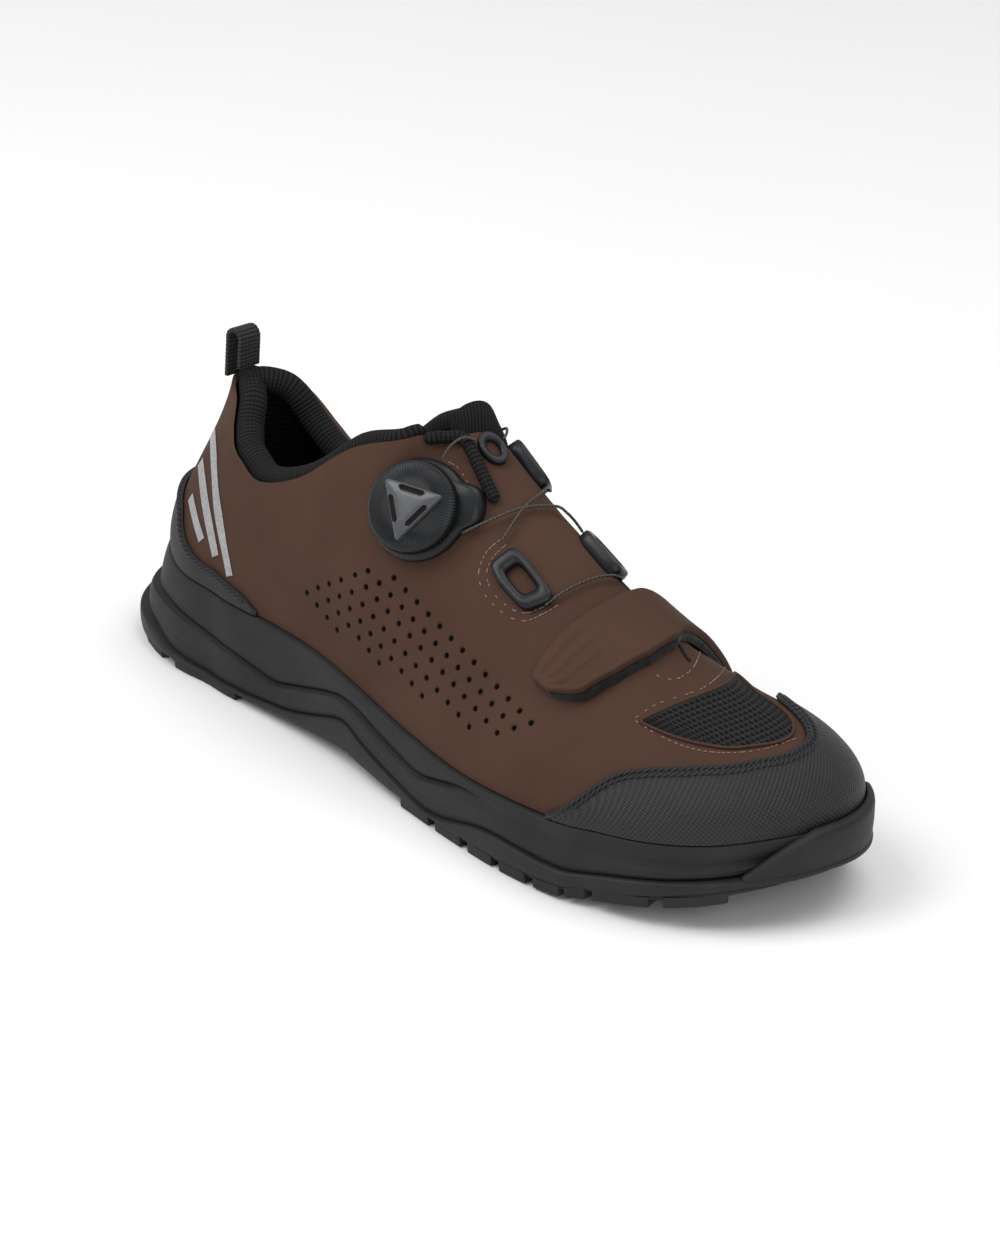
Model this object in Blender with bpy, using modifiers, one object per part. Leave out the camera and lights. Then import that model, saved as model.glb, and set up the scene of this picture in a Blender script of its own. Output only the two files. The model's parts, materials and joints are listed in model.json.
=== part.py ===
"""Cycling shoe, right foot: a hollow moulded upper on a stepped midsole and a lugged outsole,
closed by a lace dial and one strap.  Metres, +Z up, +X towards the toe, -Y the outer side.
The origin is on the floor, under the middle of the shoe's box."""

import math
from collections import namedtuple

import bmesh
import bpy
import numpy as np
from mathutils import Matrix, Vector

# Driving sizes of the last
LAST_LENGTH = 0.283  # foot line of the upper, heel to toe
BALL_WIDTH = 0.097  # foot line across the ball
COLLAR_HEIGHT = 0.094  # back of the collar above the floor
INSTEP_HEIGHT = 0.120  # ridge of the upper at the top of the throat
SOLE_WALL = 0.036  # sole's side wall at the heel, up to the upper's foot line

# Walls, layers and clearances
WALL = 0.0022  # upper
FIT_GAP = 0.0003  # between pieces that touch
OVERLAY = 0.0012  # toe cap and heel counter
OVERLAY_GAP = 0.0005  # from the upper to them
CUP_DEPTH = 0.005  # footbed recess of the midsole
CUP_LIP = 0.0020  # ledge of the midsole outside the upper
CUP_WALL = 0.0022  # wall of the recess, inside the upper
CUP_DRAFT = 0.0010  # how far that wall leans in towards its floor
SOLE_BEVEL = 0.0008  # small ledges and rounded edges of the sole
LUG_ROOT = 0.0010  # how far the lugs reach up into the outsole's plate
LUG_DRAFT = 0.0006  # how far a lug's walls lean in towards the floor
INSOLE_THICK = 0.003
LUG_DEPTH = 0.0030
LUG_WIDTH = 0.015
TONGUE_THICK = 0.0045
COLLAR_RADIUS = 0.0042
STRAP_THICK = 0.0024
STRAP_PAD_THICK = 0.0026
BINDING_RADIUS = 0.0021
LACE_RADIUS = 0.0006

# Hardware
DIAL_DIAMETER = 0.031
DIAL_HEIGHT = 0.0075
DIAL_BASE_DIAMETER = 0.034
DIAL_BASE_HEIGHT = 0.0045
GUIDE_LENGTH = 0.021
GUIDE_WIDTH = 0.0145
GUIDE_HEIGHT = 0.0034
GUIDE_BAR = 0.0034
EYELET_LENGTH = 0.0125
EYELET_WIDTH = 0.0085
LOOP_WIDTH = 0.009
LOOP_RISE = 0.018
LOOP_DEPTH = 0.0074
LOOP_THICK = 0.0013
SEAT_DEPTH = 0.006  # how far hardware runs in before the form cuts it off at the upper's surface
DIAL_SLOT_WIDTH = 0.0030
DIAL_SLOT_DEPTH = 0.0012
DIAL_SLOT_RADIUS = 0.0085  # from the dial's centre to the slots
EYELET_HEIGHT = 0.0020

# Fineness of the faceted surfaces
STEPS = 3  # stations between two sections
RINGS = 7  # strips from the foot line to the top
DIAL_SIDES = 32
TUBE_ROUND = 1  # bevel resolution of rolls and cables

Section = namedtuple(
    "Section",
    "pivot_x pivot_y turn foot_out foot_in rim_out rim_in high_out high_in "
    "swell rise crown_out crown_in drop slope",
)
# A section is an upright plane through a pivot on the shoe's centre line, at pivot_x times LAST_LENGTH from
# the heel.  Its two halves stand turn degrees from the toe, on the outer and the inner side.  foot_* is the
# distance from the pivot to the foot line and rim_* to the top edge, 0 where both sides meet in the ridge,
# all as shares of BALL_WIDTH.  high_* is the top's height, as a share of COLLAR_HEIGHT in the back and of
# INSTEP_HEIGHT in the front.  Each half is one curve with two handles: swell is how far the lower one bulges
# out and rise its share of the wall's height, crown_* is how far the upper one lies out as a share of the
# foot's width, drop its share of the height, and slope how steeply it falls towards the toe.
BACK_SECTIONS = (
    Section(0.121, 0.00, 180, 0.366, 0.366, 0.250, 0.250, 1.00, 1.00, 0.020, 0.35, 0.08, 0.08, 0.30, 0),
    Section(0.122, 0.00, 150, 0.366, 0.361, 0.182, 0.228, 0.965, 1.00, 0.020, 0.35, 0.12, 0.10, 0.30, 0),
    Section(0.125, 0.00, 120, 0.351, 0.345, 0.190, 0.230, 0.885, 0.96, 0.020, 0.35, 0.15, 0.13, 0.30, 0),
    Section(0.134, 0.00, 90, 0.345, 0.330, 0.238, 0.240, 0.830, 0.845, 0.020, 0.35, 0.14, 0.13, 0.30, 0),
    Section(0.184, 0.00, 90, 0.366, 0.325, 0.278, 0.250, 0.805, 0.780, 0.020, 0.38, 0.14, 0.14, 0.32, 0),
    Section(0.261, 0.00, 90, 0.376, 0.309, 0.294, 0.262, 0.90, 0.870, 0.022, 0.40, 0.16, 0.16, 0.32, 0),
)
FRONT_SECTIONS = (
    Section(0.339, 0.00, 90, 0.397, 0.299, 0.273, 0.245, 0.850, 0.830, 0.024, 0.40, 0.20, 0.18, 0.30, 0),
    Section(0.410, 0.00, 90, 0.423, 0.309, 0.235, 0.200, 0.925, 0.925, 0.022, 0.40, 0.24, 0.20, 0.22, 0),
    Section(0.456, 0.01, 90, 0.454, 0.309, 0.000, 0.000, 0.955, 0.955, 0.020, 0.38, 0.42, 0.36, 0.02, 0),
    Section(0.530, 0.02, 90, 0.495, 0.325, 0.000, 0.000, 0.840, 0.840, 0.018, 0.39, 0.42, 0.31, 0.00, 0),
    Section(0.622, 0.03, 90, 0.546, 0.356, 0.000, 0.000, 0.712, 0.712, 0.016, 0.40, 0.43, 0.25, 0.00, 0),
    Section(0.714, 0.03, 90, 0.572, 0.398, 0.000, 0.000, 0.606, 0.606, 0.016, 0.42, 0.45, 0.21, 0.00, 0),
    Section(0.799, 0.03, 90, 0.567, 0.423, 0.000, 0.000, 0.532, 0.532, 0.016, 0.45, 0.50, 0.24, 0.00, 0),
    Section(0.848, 0.03, 90, 0.526, 0.430, 0.000, 0.000, 0.494, 0.494, 0.016, 0.48, 0.54, 0.34, 0.00, 0.33),
    Section(0.858, 0.03, 60, 0.457, 0.430, 0.000, 0.000, 0.485, 0.485, 0.014, 0.49, 0.54, 0.42, 0.00, 0.33),
    Section(0.861, 0.03, 30, 0.408, 0.432, 0.000, 0.000, 0.482, 0.482, 0.012, 0.50, 0.54, 0.50, 0.00, 0.33),
    Section(0.862, 0.03, 0, 0.408, 0.408, 0.000, 0.000, 0.481, 0.481, 0.010, 0.50, 0.54, 0.54, 0.00, 0.33),
)

Sole = namedtuple("Sole", "line step seam ground cup tread")
# One row for each section above.  line is the upper's foot line, step the ledge in the midsole's side, seam
# the joint between midsole and outsole and ground the tread, as shares of SOLE_WALL.  cup and tread are how
# far the midsole and the outsole stand out from the foot line, as shares of BALL_WIDTH.
SOLE = (
    Sole(1.110, 0.60, 0.40, 0.04, 0.115, 0.160),
    Sole(1.050, 0.58, 0.30, 0.01, 0.095, 0.130),
    Sole(0.945, 0.53, 0.17, 0.00, 0.060, 0.080),
    Sole(0.917, 0.53, 0.16, 0.00, 0.038, 0.050),
    Sole(0.917, 0.51, 0.17, 0.00, 0.028, 0.038),
    Sole(0.917, 0.46, 0.24, 0.00, 0.028, 0.036),
    Sole(0.903, 0.50, 0.32, 0.06, 0.028, 0.036),
    Sole(0.833, 0.66, 0.42, 0.09, 0.028, 0.036),
    Sole(0.778, 0.58, 0.37, 0.05, 0.030, 0.038),
    Sole(0.690, 0.48, 0.29, 0.00, 0.030, 0.040),
    Sole(0.640, 0.50, 0.26, 0.00, 0.030, 0.042),
    Sole(0.667, 0.56, 0.34, 0.00, 0.030, 0.042),
    Sole(0.708, 0.60, 0.38, 0.03, 0.028, 0.042),
    Sole(0.736, 0.62, 0.42, 0.10, 0.028, 0.042),
    Sole(0.790, 0.64, 0.48, 0.22, 0.022, 0.045),
    Sole(0.833, 0.66, 0.54, 0.34, 0.014, 0.060),
    Sole(0.847, 0.67, 0.56, 0.40, 0.012, 0.068),
)

Bumper = namedtuple("Bumper", "along share")
# How high the toe bumper wraps, as a share of the way from seam to foot line.  along counts sections past
# the toe and back on the inner side.
BUMPER = (
    Bumper(14.667, 0.0),
    Bumper(15.333, 0.75),
    Bumper(15.667, 1.0),
    Bumper(17.667, 1.0),
    Bumper(18.333, 0.5),
    Bumper(18.667, 0.0),
)

Edge = namedtuple("Edge", "along out_up in_up")
# Top edges of the overlays: along is the section's number, *_up the share of the wall that is covered
TOE_CAP_EDGE = (
    Edge(11.667, 0.05, 0.05),
    Edge(12.2, 0.17, 0.20),
    Edge(12.6, 0.31, 0.38),
    Edge(13.0, 0.41, 0.55),
    Edge(14.0, 0.52, 0.66),
    Edge(15.0, 0.55, 0.62),
    Edge(16.0, 0.56, 0.56),
)
COUNTER_EDGE = (
    Edge(0.0, 0.22, 0.22),
    Edge(1.0, 0.18, 0.18),
    Edge(2.0, 0.13, 0.13),
    Edge(3.0, 0.125, 0.125),
    Edge(4.0, 0.11, 0.11),
    Edge(4.8, 0.04, 0.04),
)

Slit = namedtuple("Slit", "along outer inner")
# Throat: its two edges in plan, along as a share of LAST_LENGTH, outer and inner as shares of BALL_WIDTH
THROAT = (
    Slit(0.400, -0.300, 0.225),
    Slit(0.428, -0.180, 0.215),
    Slit(0.443, -0.095, 0.205),
    Slit(0.463, -0.020, 0.190),
    Slit(0.490, 0.032, 0.170),
    Slit(0.530, 0.062, 0.140),
    Slit(0.600, 0.075, 0.112),
    Slit(0.680, 0.080, 0.104),
    Slit(0.735, 0.084, 0.098),
)

Band = namedtuple("Band", "side up rear front")
# Strap: from its free tip on the outer side over the ridge to the inner side.  up is the share of the wall,
# rear and front its two edges as shares of LAST_LENGTH
STRAP = (
    Band("out", 0.485, 0.690, 0.700),
    Band("out", 0.515, 0.684, 0.728),
    Band("out", 0.56, 0.681, 0.744),
    Band("out", 0.62, 0.680, 0.752),
    Band("out", 0.70, 0.681, 0.760),
    Band("out", 0.85, 0.687, 0.768),
    Band("out", 0.999, 0.690, 0.765),
    Band("in", 0.85, 0.690, 0.760),
    Band("in", 0.65, 0.692, 0.758),
    Band("in", 0.45, 0.696, 0.758),
    Band("in", 0.22, 0.700, 0.760),
)

Spot = namedtuple("Spot", "side along up")
# Places on the upper's surface: along as a share of LAST_LENGTH, up as a share of the wall
DIAL_SPOT = Spot("out", 0.452, 0.575)
EYELET_SPOT = Spot("out", 0.484, 0.93)
OUTER_GUIDE_SPOT = Spot("out", 0.598, 0.69)
INNER_GUIDE_SPOT = Spot("in", 0.622, 0.80)
INNER_TOP_GUIDE_SPOT = Spot("in", 0.492, 0.74)
BINDING_ENDS = (Spot("out", 0.437, 0.85), Spot("out", 0.524, 0.795))

Route = namedtuple("Route", "side along up lift")
# Lace cable runs between the dial and the guides: places on the surface, and how high the cable's middle
# lies above them, in metres
LACE_RUNS = {
    "lace_dial_run": (
        Route("out", 0.456, 0.735, 0.0050),
        Route("out", 0.456, 0.790, 0.0056),
        Route("out", 0.462, 0.845, 0.0050),
        Route("out", 0.471, 0.880, 0.0032),
    ),
    "lace_upper_run": (
        Route("in", 0.4820, 0.998, 0.0020),
        Route("in", 0.477, 0.950, 0.0028),
        Route("in", 0.468, 0.890, 0.0028),
        Route("in", 0.458, 0.835, 0.0020),
    ),
    "lace_crossing": (
        Route("out", 0.514, 0.625, 0.0030),
        Route("out", 0.534, 0.740, 0.0028),
        Route("out", 0.550, 0.870, 0.0024),
        Route("in", 0.566, 0.995, 0.0024),
        Route("in", 0.576, 0.930, 0.0024),
        Route("in", 0.583, 0.860, 0.0018),
    ),
    "lace_crossing_under": (
        Route("out", 0.556, 0.715, 0.0018),
        Route("out", 0.554, 0.780, 0.0022),
        Route("out", 0.550, 0.870, 0.0024),
        Route("in", 0.546, 0.995, 0.0024),
        Route("in", 0.540, 0.900, 0.0024),
        Route("in", 0.533, 0.800, 0.0018),
    ),
    "lace_lower_run": (
        Route("out", 0.640, 0.690, 0.0018),
        Route("out", 0.647, 0.800, 0.0022),
        Route("out", 0.655, 0.920, 0.0022),
        Route("in", 0.662, 0.995, 0.0024),
        Route("in", 0.666, 0.930, 0.0022),
        Route("in", 0.6615, 0.855, 0.0018),
    ),
}
RUN_POINTS = 14  # points along each run of cable

MATERIALS = {
    "brown_microfibre": ((0.090, 0.048, 0.031), 0.62, 0.0),
    "black_rubber": ((0.020, 0.020, 0.021), 0.62, 0.0),
    "black_foam": ((0.024, 0.024, 0.025), 0.58, 0.0),
    "black_overlay": ((0.022, 0.022, 0.023), 0.55, 0.0),
    "black_knit": ((0.016, 0.016, 0.017), 0.90, 0.0),
    "black_plastic": ((0.020, 0.021, 0.022), 0.38, 0.0),
    "cable": ((0.045, 0.043, 0.030), 0.45, 0.3),
}


def clear_scene():
    for obj in list(bpy.data.objects):
        bpy.data.objects.remove(obj, do_unlink=True)


def new_collection(name):
    collection = bpy.data.collections.new(name)
    bpy.context.scene.collection.children.link(collection)
    return collection


def make_material(node, finish):
    """Each node has a material of its own, in one of the shoe's finishes."""
    colour, roughness, metallic = MATERIALS[finish]
    material = bpy.data.materials.new(f"{node}_{finish}")
    material.use_nodes = True
    shader = material.node_tree.nodes["Principled BSDF"]
    shader.inputs["Base Color"].default_value = (*colour, 1.0)
    shader.inputs["Roughness"].default_value = roughness
    shader.inputs["Metallic"].default_value = metallic
    return material


def add_mesh(name, mesh, collection, finish=None):
    obj = bpy.data.objects.new(name, mesh)
    collection.objects.link(obj)
    if finish:
        mesh.materials.append(make_material(name, finish))
        mesh.shade_smooth()
        mesh.set_sharp_from_angle(angle=math.radians(40))
    return obj


def section_table():
    """Sections and sole rows in metres and degrees, as one array with a row for each section."""
    rows = []
    for sections, height in ((BACK_SECTIONS, COLLAR_HEIGHT), (FRONT_SECTIONS, INSTEP_HEIGHT)):
        for s in sections:
            widths = [w * BALL_WIDTH for w in (s.foot_out, s.foot_in, s.rim_out, s.rim_in)]
            heights = [s.high_out * height, s.high_in * height]
            handles = [s.swell * BALL_WIDTH, s.rise, s.crown_out, s.crown_in, s.drop, s.slope]
            place = [s.pivot_x * LAST_LENGTH, s.pivot_y * BALL_WIDTH, s.turn]
            rows.append(place + widths + heights + handles)
    for row, s in zip(rows, SOLE):
        row += [share * SOLE_WALL for share in (s.line, s.step, s.seam, s.ground)]
        row += [s.cup * BALL_WIDTH, s.tread * BALL_WIDTH]
    return np.array(rows)


TABLE = section_table()
LAST_SECTION = len(TABLE) - 1
Station = namedtuple("Station", Section._fields + Sole._fields)


def station(t):
    """The section at number t, smoothly between the two rows next to it."""
    t = min(max(t, 0.0), LAST_SECTION)
    i = min(int(t), LAST_SECTION - 1)
    f = t - i
    before = TABLE[max(i - 1, 0)]
    a, b = TABLE[i], TABLE[i + 1]
    after = TABLE[min(i + 2, LAST_SECTION)]
    bend = (2 * before - 5 * a + 4 * b - after) * f**2 + (3 * a - before - 3 * b + after) * f**3
    row = a + 0.5 * ((b - before) * f + bend)
    now = Station(*row)
    rims = max(now.rim_out, 0.0), max(now.rim_in, 0.0)
    return now._replace(rim_out=rims[0], rim_in=rims[1], ground=max(now.ground, 0.0))


def place(now, side, radius, z):
    """A point in a section's plane, at a distance from its pivot."""
    angle = math.radians(now.turn)
    way = -1 if side == "out" else 1
    return Vector((now.pivot_x + radius * math.cos(angle), now.pivot_y + way * radius * math.sin(angle), z))


def skin_point(t, side, up):
    """A point on the upper's outer surface: up is 0 at the foot line and 1 at the top."""
    now = station(t)
    outer = side == "out"
    foot, rim = (now.foot_out, now.rim_out) if outer else (now.foot_in, now.rim_in)
    high, crown = (now.high_out, now.crown_out) if outer else (now.high_in, now.crown_in)
    low = now.line + 2 * FIT_GAP
    height = high - low
    handle = rim + crown * foot
    handle_z = high - now.drop * height - now.slope * math.cos(math.radians(now.turn)) * handle
    weights = ((1 - up) ** 3, 3 * (1 - up) ** 2 * up, 3 * (1 - up) * up**2, up**3)
    radii = (foot, foot + now.swell, handle, rim)
    levels = (low, low + now.rise * height, handle_z, high)
    radius = sum(w * r for w, r in zip(weights, radii))
    z = sum(w * level for w, level in zip(weights, levels))
    return place(now, side, radius, z)


def skin_normal(t, side, up):
    t = min(max(t, 0.01), LAST_SECTION - 0.01)
    up = min(max(up, 0.01), 0.96)
    along = skin_point(t + 0.01, side, up) - skin_point(t - 0.01, side, up)
    rising = skin_point(t, side, up + 0.01) - skin_point(t, side, up - 0.01)
    normal = along.cross(rising).normalized()
    return normal if side == "out" else -normal


def skin(t, side, up, offset=0.0):
    """The upper's surface moved out by an offset, or in by a negative one."""
    return skin_point(t, side, up) + skin_normal(t, side, up) * offset


def section_at(share):
    """The section number whose plane lies at a share of the last's length, between heel and toe pivots."""
    numbers = np.linspace(3, 13, 201)
    return float(np.interp(share * LAST_LENGTH, [station(t).pivot_x for t in numbers], numbers))


TONGUE_START = section_at(0.462)  # top of the tongue's flat part
TONGUE_TOE = 12  # section at its far end


def stations_round():
    """Station numbers and sides once round the shoe: heel, outer side, toe, inner side."""
    count = LAST_SECTION * STEPS
    outer = [(k / STEPS, "out") for k in range(count + 1)]
    inner = [(k / STEPS, "in") for k in range(count - 1, 0, -1)]
    return outer + inner


ROUND = stations_round()


def loft(name, rings, collection, finish=None, closed=True):
    """Joins loops round the shoe, and closes the first and the last across the shoe."""
    bm = bmesh.new()
    loops = [[bm.verts.new(p) for p in ring] for ring in rings]
    count = len(rings[0])
    for low, high in zip(loops, loops[1:]):
        for i in range(count):
            k = (i + 1) % count
            bm.faces.new((low[i], low[k], high[k], high[i]))
    if closed:
        for loop in (loops[0], loops[-1]):
            bm.faces.new((loop[0], loop[1], loop[-1]))
            for i in range(1, count // 2 - 1):
                bm.faces.new((loop[i], loop[i + 1], loop[count - i - 1], loop[count - i]))
            half = count // 2
            bm.faces.new((loop[half - 1], loop[half], loop[half + 1]))
        bmesh.ops.recalc_face_normals(bm, faces=bm.faces)
    else:
        bmesh.ops.remove_doubles(bm, verts=loops[-1], dist=0.0001)
    mesh = bpy.data.meshes.new(name)
    bm.to_mesh(mesh)
    bm.free()
    return add_mesh(name, mesh, collection, finish)


def slab(name, grid_low, grid_high, collection, finish=None):
    """A closed sheet between two grids of points, which are lists of rows."""
    bm = bmesh.new()
    low = [[bm.verts.new(p) for p in row] for row in grid_low]
    high = [[bm.verts.new(p) for p in row] for row in grid_high]
    rows, columns = len(low), len(low[0])
    for i in range(rows - 1):
        for j in range(columns - 1):
            bm.faces.new((low[i][j], low[i][j + 1], low[i + 1][j + 1], low[i + 1][j]))
            bm.faces.new((high[i][j], high[i + 1][j], high[i + 1][j + 1], high[i][j + 1]))
    border = [(0, j) for j in range(columns)] + [(i, columns - 1) for i in range(1, rows)]
    border += [(rows - 1, j) for j in range(columns - 2, -1, -1)] + [(i, 0) for i in range(rows - 2, 0, -1)]
    for (i, j), (k, m) in zip(border, border[1:] + border[:1]):
        bm.faces.new((low[i][j], high[i][j], high[k][m], low[k][m]))
    bmesh.ops.recalc_face_normals(bm, faces=bm.faces)
    mesh = bpy.data.meshes.new(name)
    bm.to_mesh(mesh)
    bm.free()
    return add_mesh(name, mesh, collection, finish)


def ring_mesh(name, profiles, collection, finish=None):
    """A closed bar lofted through profiles, which are loops of equally many points, with flat ends."""
    bm = bmesh.new()
    loops = [[bm.verts.new(p) for p in profile] for profile in profiles]
    count = len(profiles[0])
    for a, b in zip(loops, loops[1:]):
        for i in range(count):
            k = (i + 1) % count
            bm.faces.new((a[i], a[k], b[k], b[i]))
    bm.faces.new(loops[0])
    bm.faces.new(loops[-1])
    bmesh.ops.recalc_face_normals(bm, faces=bm.faces)
    mesh = bpy.data.meshes.new(name)
    bm.to_mesh(mesh)
    bm.free()
    return add_mesh(name, mesh, collection, finish)


def prism(name, outline, low, high, collection, finish=None):
    """An upright prism over a plan outline."""
    profiles = [[Vector((x, y, z)) for x, y in outline] for z in (low, high)]
    return ring_mesh(name, profiles, collection, finish)


def as_cutter(obj):
    obj.hide_render = True
    obj.display_type = "WIRE"
    return obj


def boolean(obj, other, operation):
    modifier = obj.modifiers.new(f"{operation.lower()} {other.name}", "BOOLEAN")
    modifier.operation = operation
    modifier.solver = "EXACT"
    modifier.object = other


def sole_ring(out_by, height):
    """A loop round the sole: out_by and height work out distance past the foot line and level."""
    ring = []
    for t, side in ROUND:
        now = station(t)
        foot = now.foot_out if side == "out" else now.foot_in
        ring.append(place(now, side, foot + out_by(now), height(now)))
    return ring


def make_midsole(parts):
    """Foam with a footbed recess on top and a ledge round its side."""
    bed = WALL + CUP_WALL
    rings = [
        sole_ring(lambda s: -bed - CUP_DRAFT, lambda s: s.line - CUP_DEPTH),
        sole_ring(lambda s: -bed, lambda s: s.line),
        sole_ring(lambda s: CUP_LIP, lambda s: s.line),
        sole_ring(lambda s: 0.55 * s.cup, lambda s: s.step + SOLE_BEVEL),
        sole_ring(lambda s: 0.55 * s.cup - SOLE_BEVEL, lambda s: s.step - SOLE_BEVEL / 4),
        sole_ring(lambda s: 0.9 * s.cup, lambda s: s.step - 2 * SOLE_BEVEL),
        sole_ring(lambda s: s.cup, lambda s: 0.45 * s.step + 0.55 * s.seam),
        sole_ring(lambda s: s.cup - SOLE_BEVEL, lambda s: s.seam + FIT_GAP),
    ]
    return loft("midsole", rings, parts, "black_foam")


def make_outsole(parts, cutters):
    """Rubber plate with lugs, and with a bumper that wraps up over the toe."""
    plate = loft("outsole", [
        sole_ring(lambda s: s.tread - SOLE_BEVEL, lambda s: s.seam),
        sole_ring(lambda s: s.tread, lambda s: s.seam - SOLE_BEVEL),
        sole_ring(lambda s: s.tread - SOLE_BEVEL / 4, lambda s: 0.5 * (s.seam + s.ground + LUG_DEPTH)),
        sole_ring(lambda s: s.tread - SOLE_BEVEL, lambda s: s.ground + LUG_DEPTH),
    ], parts, "black_rubber")
    for lug in make_lugs(cutters) + make_centre_lugs(cutters) + [make_bumper(cutters)]:
        boolean(plate, lug, "UNION")
    return plate


Lug = namedtuple("Lug", "start end width")
# Lugs along both edges of the tread: start and end are section numbers, width is a share of LUG_WIDTH
EDGE_LUGS = (
    Lug(0.35, 2.10, 1.15),
    Lug(2.45, 4.30, 1.10),
    Lug(9.00, 9.61, 1.00),
    Lug(9.75, 10.26, 1.00),
    Lug(10.40, 10.86, 1.00),
    Lug(11.00, 11.46, 1.00),
    Lug(11.60, 12.11, 1.00),
    Lug(12.25, 12.81, 1.00),
    Lug(12.95, 13.61, 1.00),
    Lug(13.75, 14.51, 1.00),
)
LUG_REACH = 0.88  # outer face of the lugs, as a share of the tread's flare


def lug_corner(t, side, inset, level):
    """A corner of an edge lug, on the floor at level 0 and in the plate at level 1."""
    now = station(t)
    foot = now.foot_out if side == "out" else now.foot_in
    shrink = LUG_DRAFT * (1 - level)
    radius = foot + LUG_REACH * now.tread - inset + (shrink if inset else -shrink)
    return place(now, side, radius, now.ground + level * (LUG_DEPTH + LUG_ROOT))


def make_lugs(cutters):
    lugs = []
    for side in ("out", "in"):
        for number, row in enumerate(EDGE_LUGS):
            profiles = []
            for level in (0, 1):
                numbers = np.linspace(row.start, row.end, 3)
                outer = [lug_corner(t, side, 0.0, level) for t in numbers]
                inner = [lug_corner(t, side, LUG_WIDTH * row.width, level) for t in numbers[::-1]]
                profiles.append(outer + inner)
            lugs.append(as_cutter(ring_mesh(f"lug_{side}_{number}", profiles, cutters)))
    return lugs


CentreLug = namedtuple("CentreLug", "start end reach skew")
# Blocks in the middle of the tread: from start to end as shares of LAST_LENGTH, reach either way from the
# centre line and skew, how far their front edge is swept, as shares of BALL_WIDTH
CENTRE_LUGS = (
    CentreLug(0.055, 0.085, 0.14, 0.04),
    CentreLug(0.105, 0.135, 0.15, 0.04),
    CentreLug(0.155, 0.185, 0.15, 0.04),
    CentreLug(0.580, 0.612, 0.20, -0.05),
    CentreLug(0.640, 0.672, 0.24, -0.05),
    CentreLug(0.700, 0.732, 0.27, -0.05),
    CentreLug(0.760, 0.792, 0.25, -0.05),
    CentreLug(0.820, 0.848, 0.22, -0.05),
)


def make_centre_lugs(cutters):
    lugs = []
    for number, row in enumerate(CENTRE_LUGS):
        now = station(section_at(0.5 * (row.start + row.end)))
        low, middle = now.ground, now.pivot_y
        reach, skew = row.reach * BALL_WIDTH, row.skew * BALL_WIDTH
        rear, front = row.start * LAST_LENGTH, row.end * LAST_LENGTH
        outline = [(rear, middle), (rear + skew, middle - reach), (front + skew, middle - reach),
                   (front, middle), (front + skew, middle + reach), (rear + skew, middle + reach)]
        high = low + LUG_DEPTH + LUG_ROOT
        lugs.append(as_cutter(prism(f"centre_lug_{number}", outline, low, high, cutters)))
    return lugs


def make_bumper(cutters):
    """Rubber that wraps up over the toe, with slanted ends."""
    profiles = []
    middle = LAST_SECTION * STEPS
    for k in range(round(BUMPER[0].along * STEPS), round(BUMPER[-1].along * STEPS) + 1):
        share = float(np.interp(k / STEPS, [b.along for b in BUMPER], [b.share for b in BUMPER]))
        side = "out" if k <= middle else "in"
        now = station(min(k, 2 * middle - k) / STEPS)
        foot = now.foot_out if side == "out" else now.foot_in
        inner = foot + max(now.cup, CUP_LIP) + FIT_GAP
        outer = foot + now.tread - SOLE_BEVEL / 2
        low = now.seam - 2 * SOLE_BEVEL
        high = now.seam + SOLE_BEVEL + share * (now.line + SOLE_BEVEL - now.seam)
        edge = 1.5 * SOLE_BEVEL
        shape = ((inner, low), (outer, low), (outer, high - edge), (outer - edge, high), (inner, high))
        profiles.append([place(now, side, r, z) for r, z in shape])
    return as_cutter(ring_mesh("bumper_wrap", profiles, cutters))


def make_insole(parts):
    """Sheet on the floor of the midsole's recess."""
    inset = WALL + CUP_WALL + CUP_DRAFT + FIT_GAP
    low = sole_ring(lambda s: -inset, lambda s: s.line - CUP_DEPTH + FIT_GAP)
    high = sole_ring(lambda s: -inset - SOLE_BEVEL / 2, lambda s: s.line - CUP_DEPTH + FIT_GAP + INSOLE_THICK)
    return loft("insole", [low, high], parts, "black_knit")


def make_upper(parts, cutters):
    """Moulded wall, open at the collar, along the throat and underneath."""
    rings = [[skin(t, side, up) for t, side in ROUND] for up in np.linspace(0, 1, RINGS + 1)]
    upper = loft("upper", rings, parts, "brown_microfibre", closed=False)
    wall = upper.modifiers.new("wall", "SOLIDIFY")
    wall.thickness = WALL
    wall.offset = -1
    edges = [(s.along * LAST_LENGTH, s.outer * BALL_WIDTH) for s in THROAT]
    edges += [(s.along * LAST_LENGTH, s.inner * BALL_WIDTH) for s in reversed(THROAT)]
    slit = prism("throat_slit", edges, 0.45 * INSTEP_HEIGHT, 1.2 * INSTEP_HEIGHT, cutters)
    boolean(upper, as_cutter(slit), "DIFFERENCE")
    return upper


def make_last_cutter(cutters):
    """The whole form with a fit gap round it, which seats hardware on the upper."""
    rings = [[skin(t, side, up, FIT_GAP) for t, side in ROUND] for up in np.linspace(0, 1, RINGS + 1)]
    return as_cutter(loft("last_form", rings, cutters))


def edge_at(edges, t, side):
    shares = [e.out_up if side == "out" else e.in_up for e in edges]
    return float(np.interp(t, [e.along for e in edges], shares))


def make_overlay(name, edges, stops, parts, finish):
    """A sheet on the upper from the foot line up to an edge, round the toe or the heel."""
    low, high = [], []
    for t, side in stops:
        ups = [edge_at(edges, t, side) * k / 4 for k in range(5)]
        low.append([skin(t, side, up, OVERLAY_GAP) for up in ups])
        high.append([skin(t, side, up, OVERLAY_GAP + OVERLAY) for up in ups])
    return slab(name, low, high, parts, finish)


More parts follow.
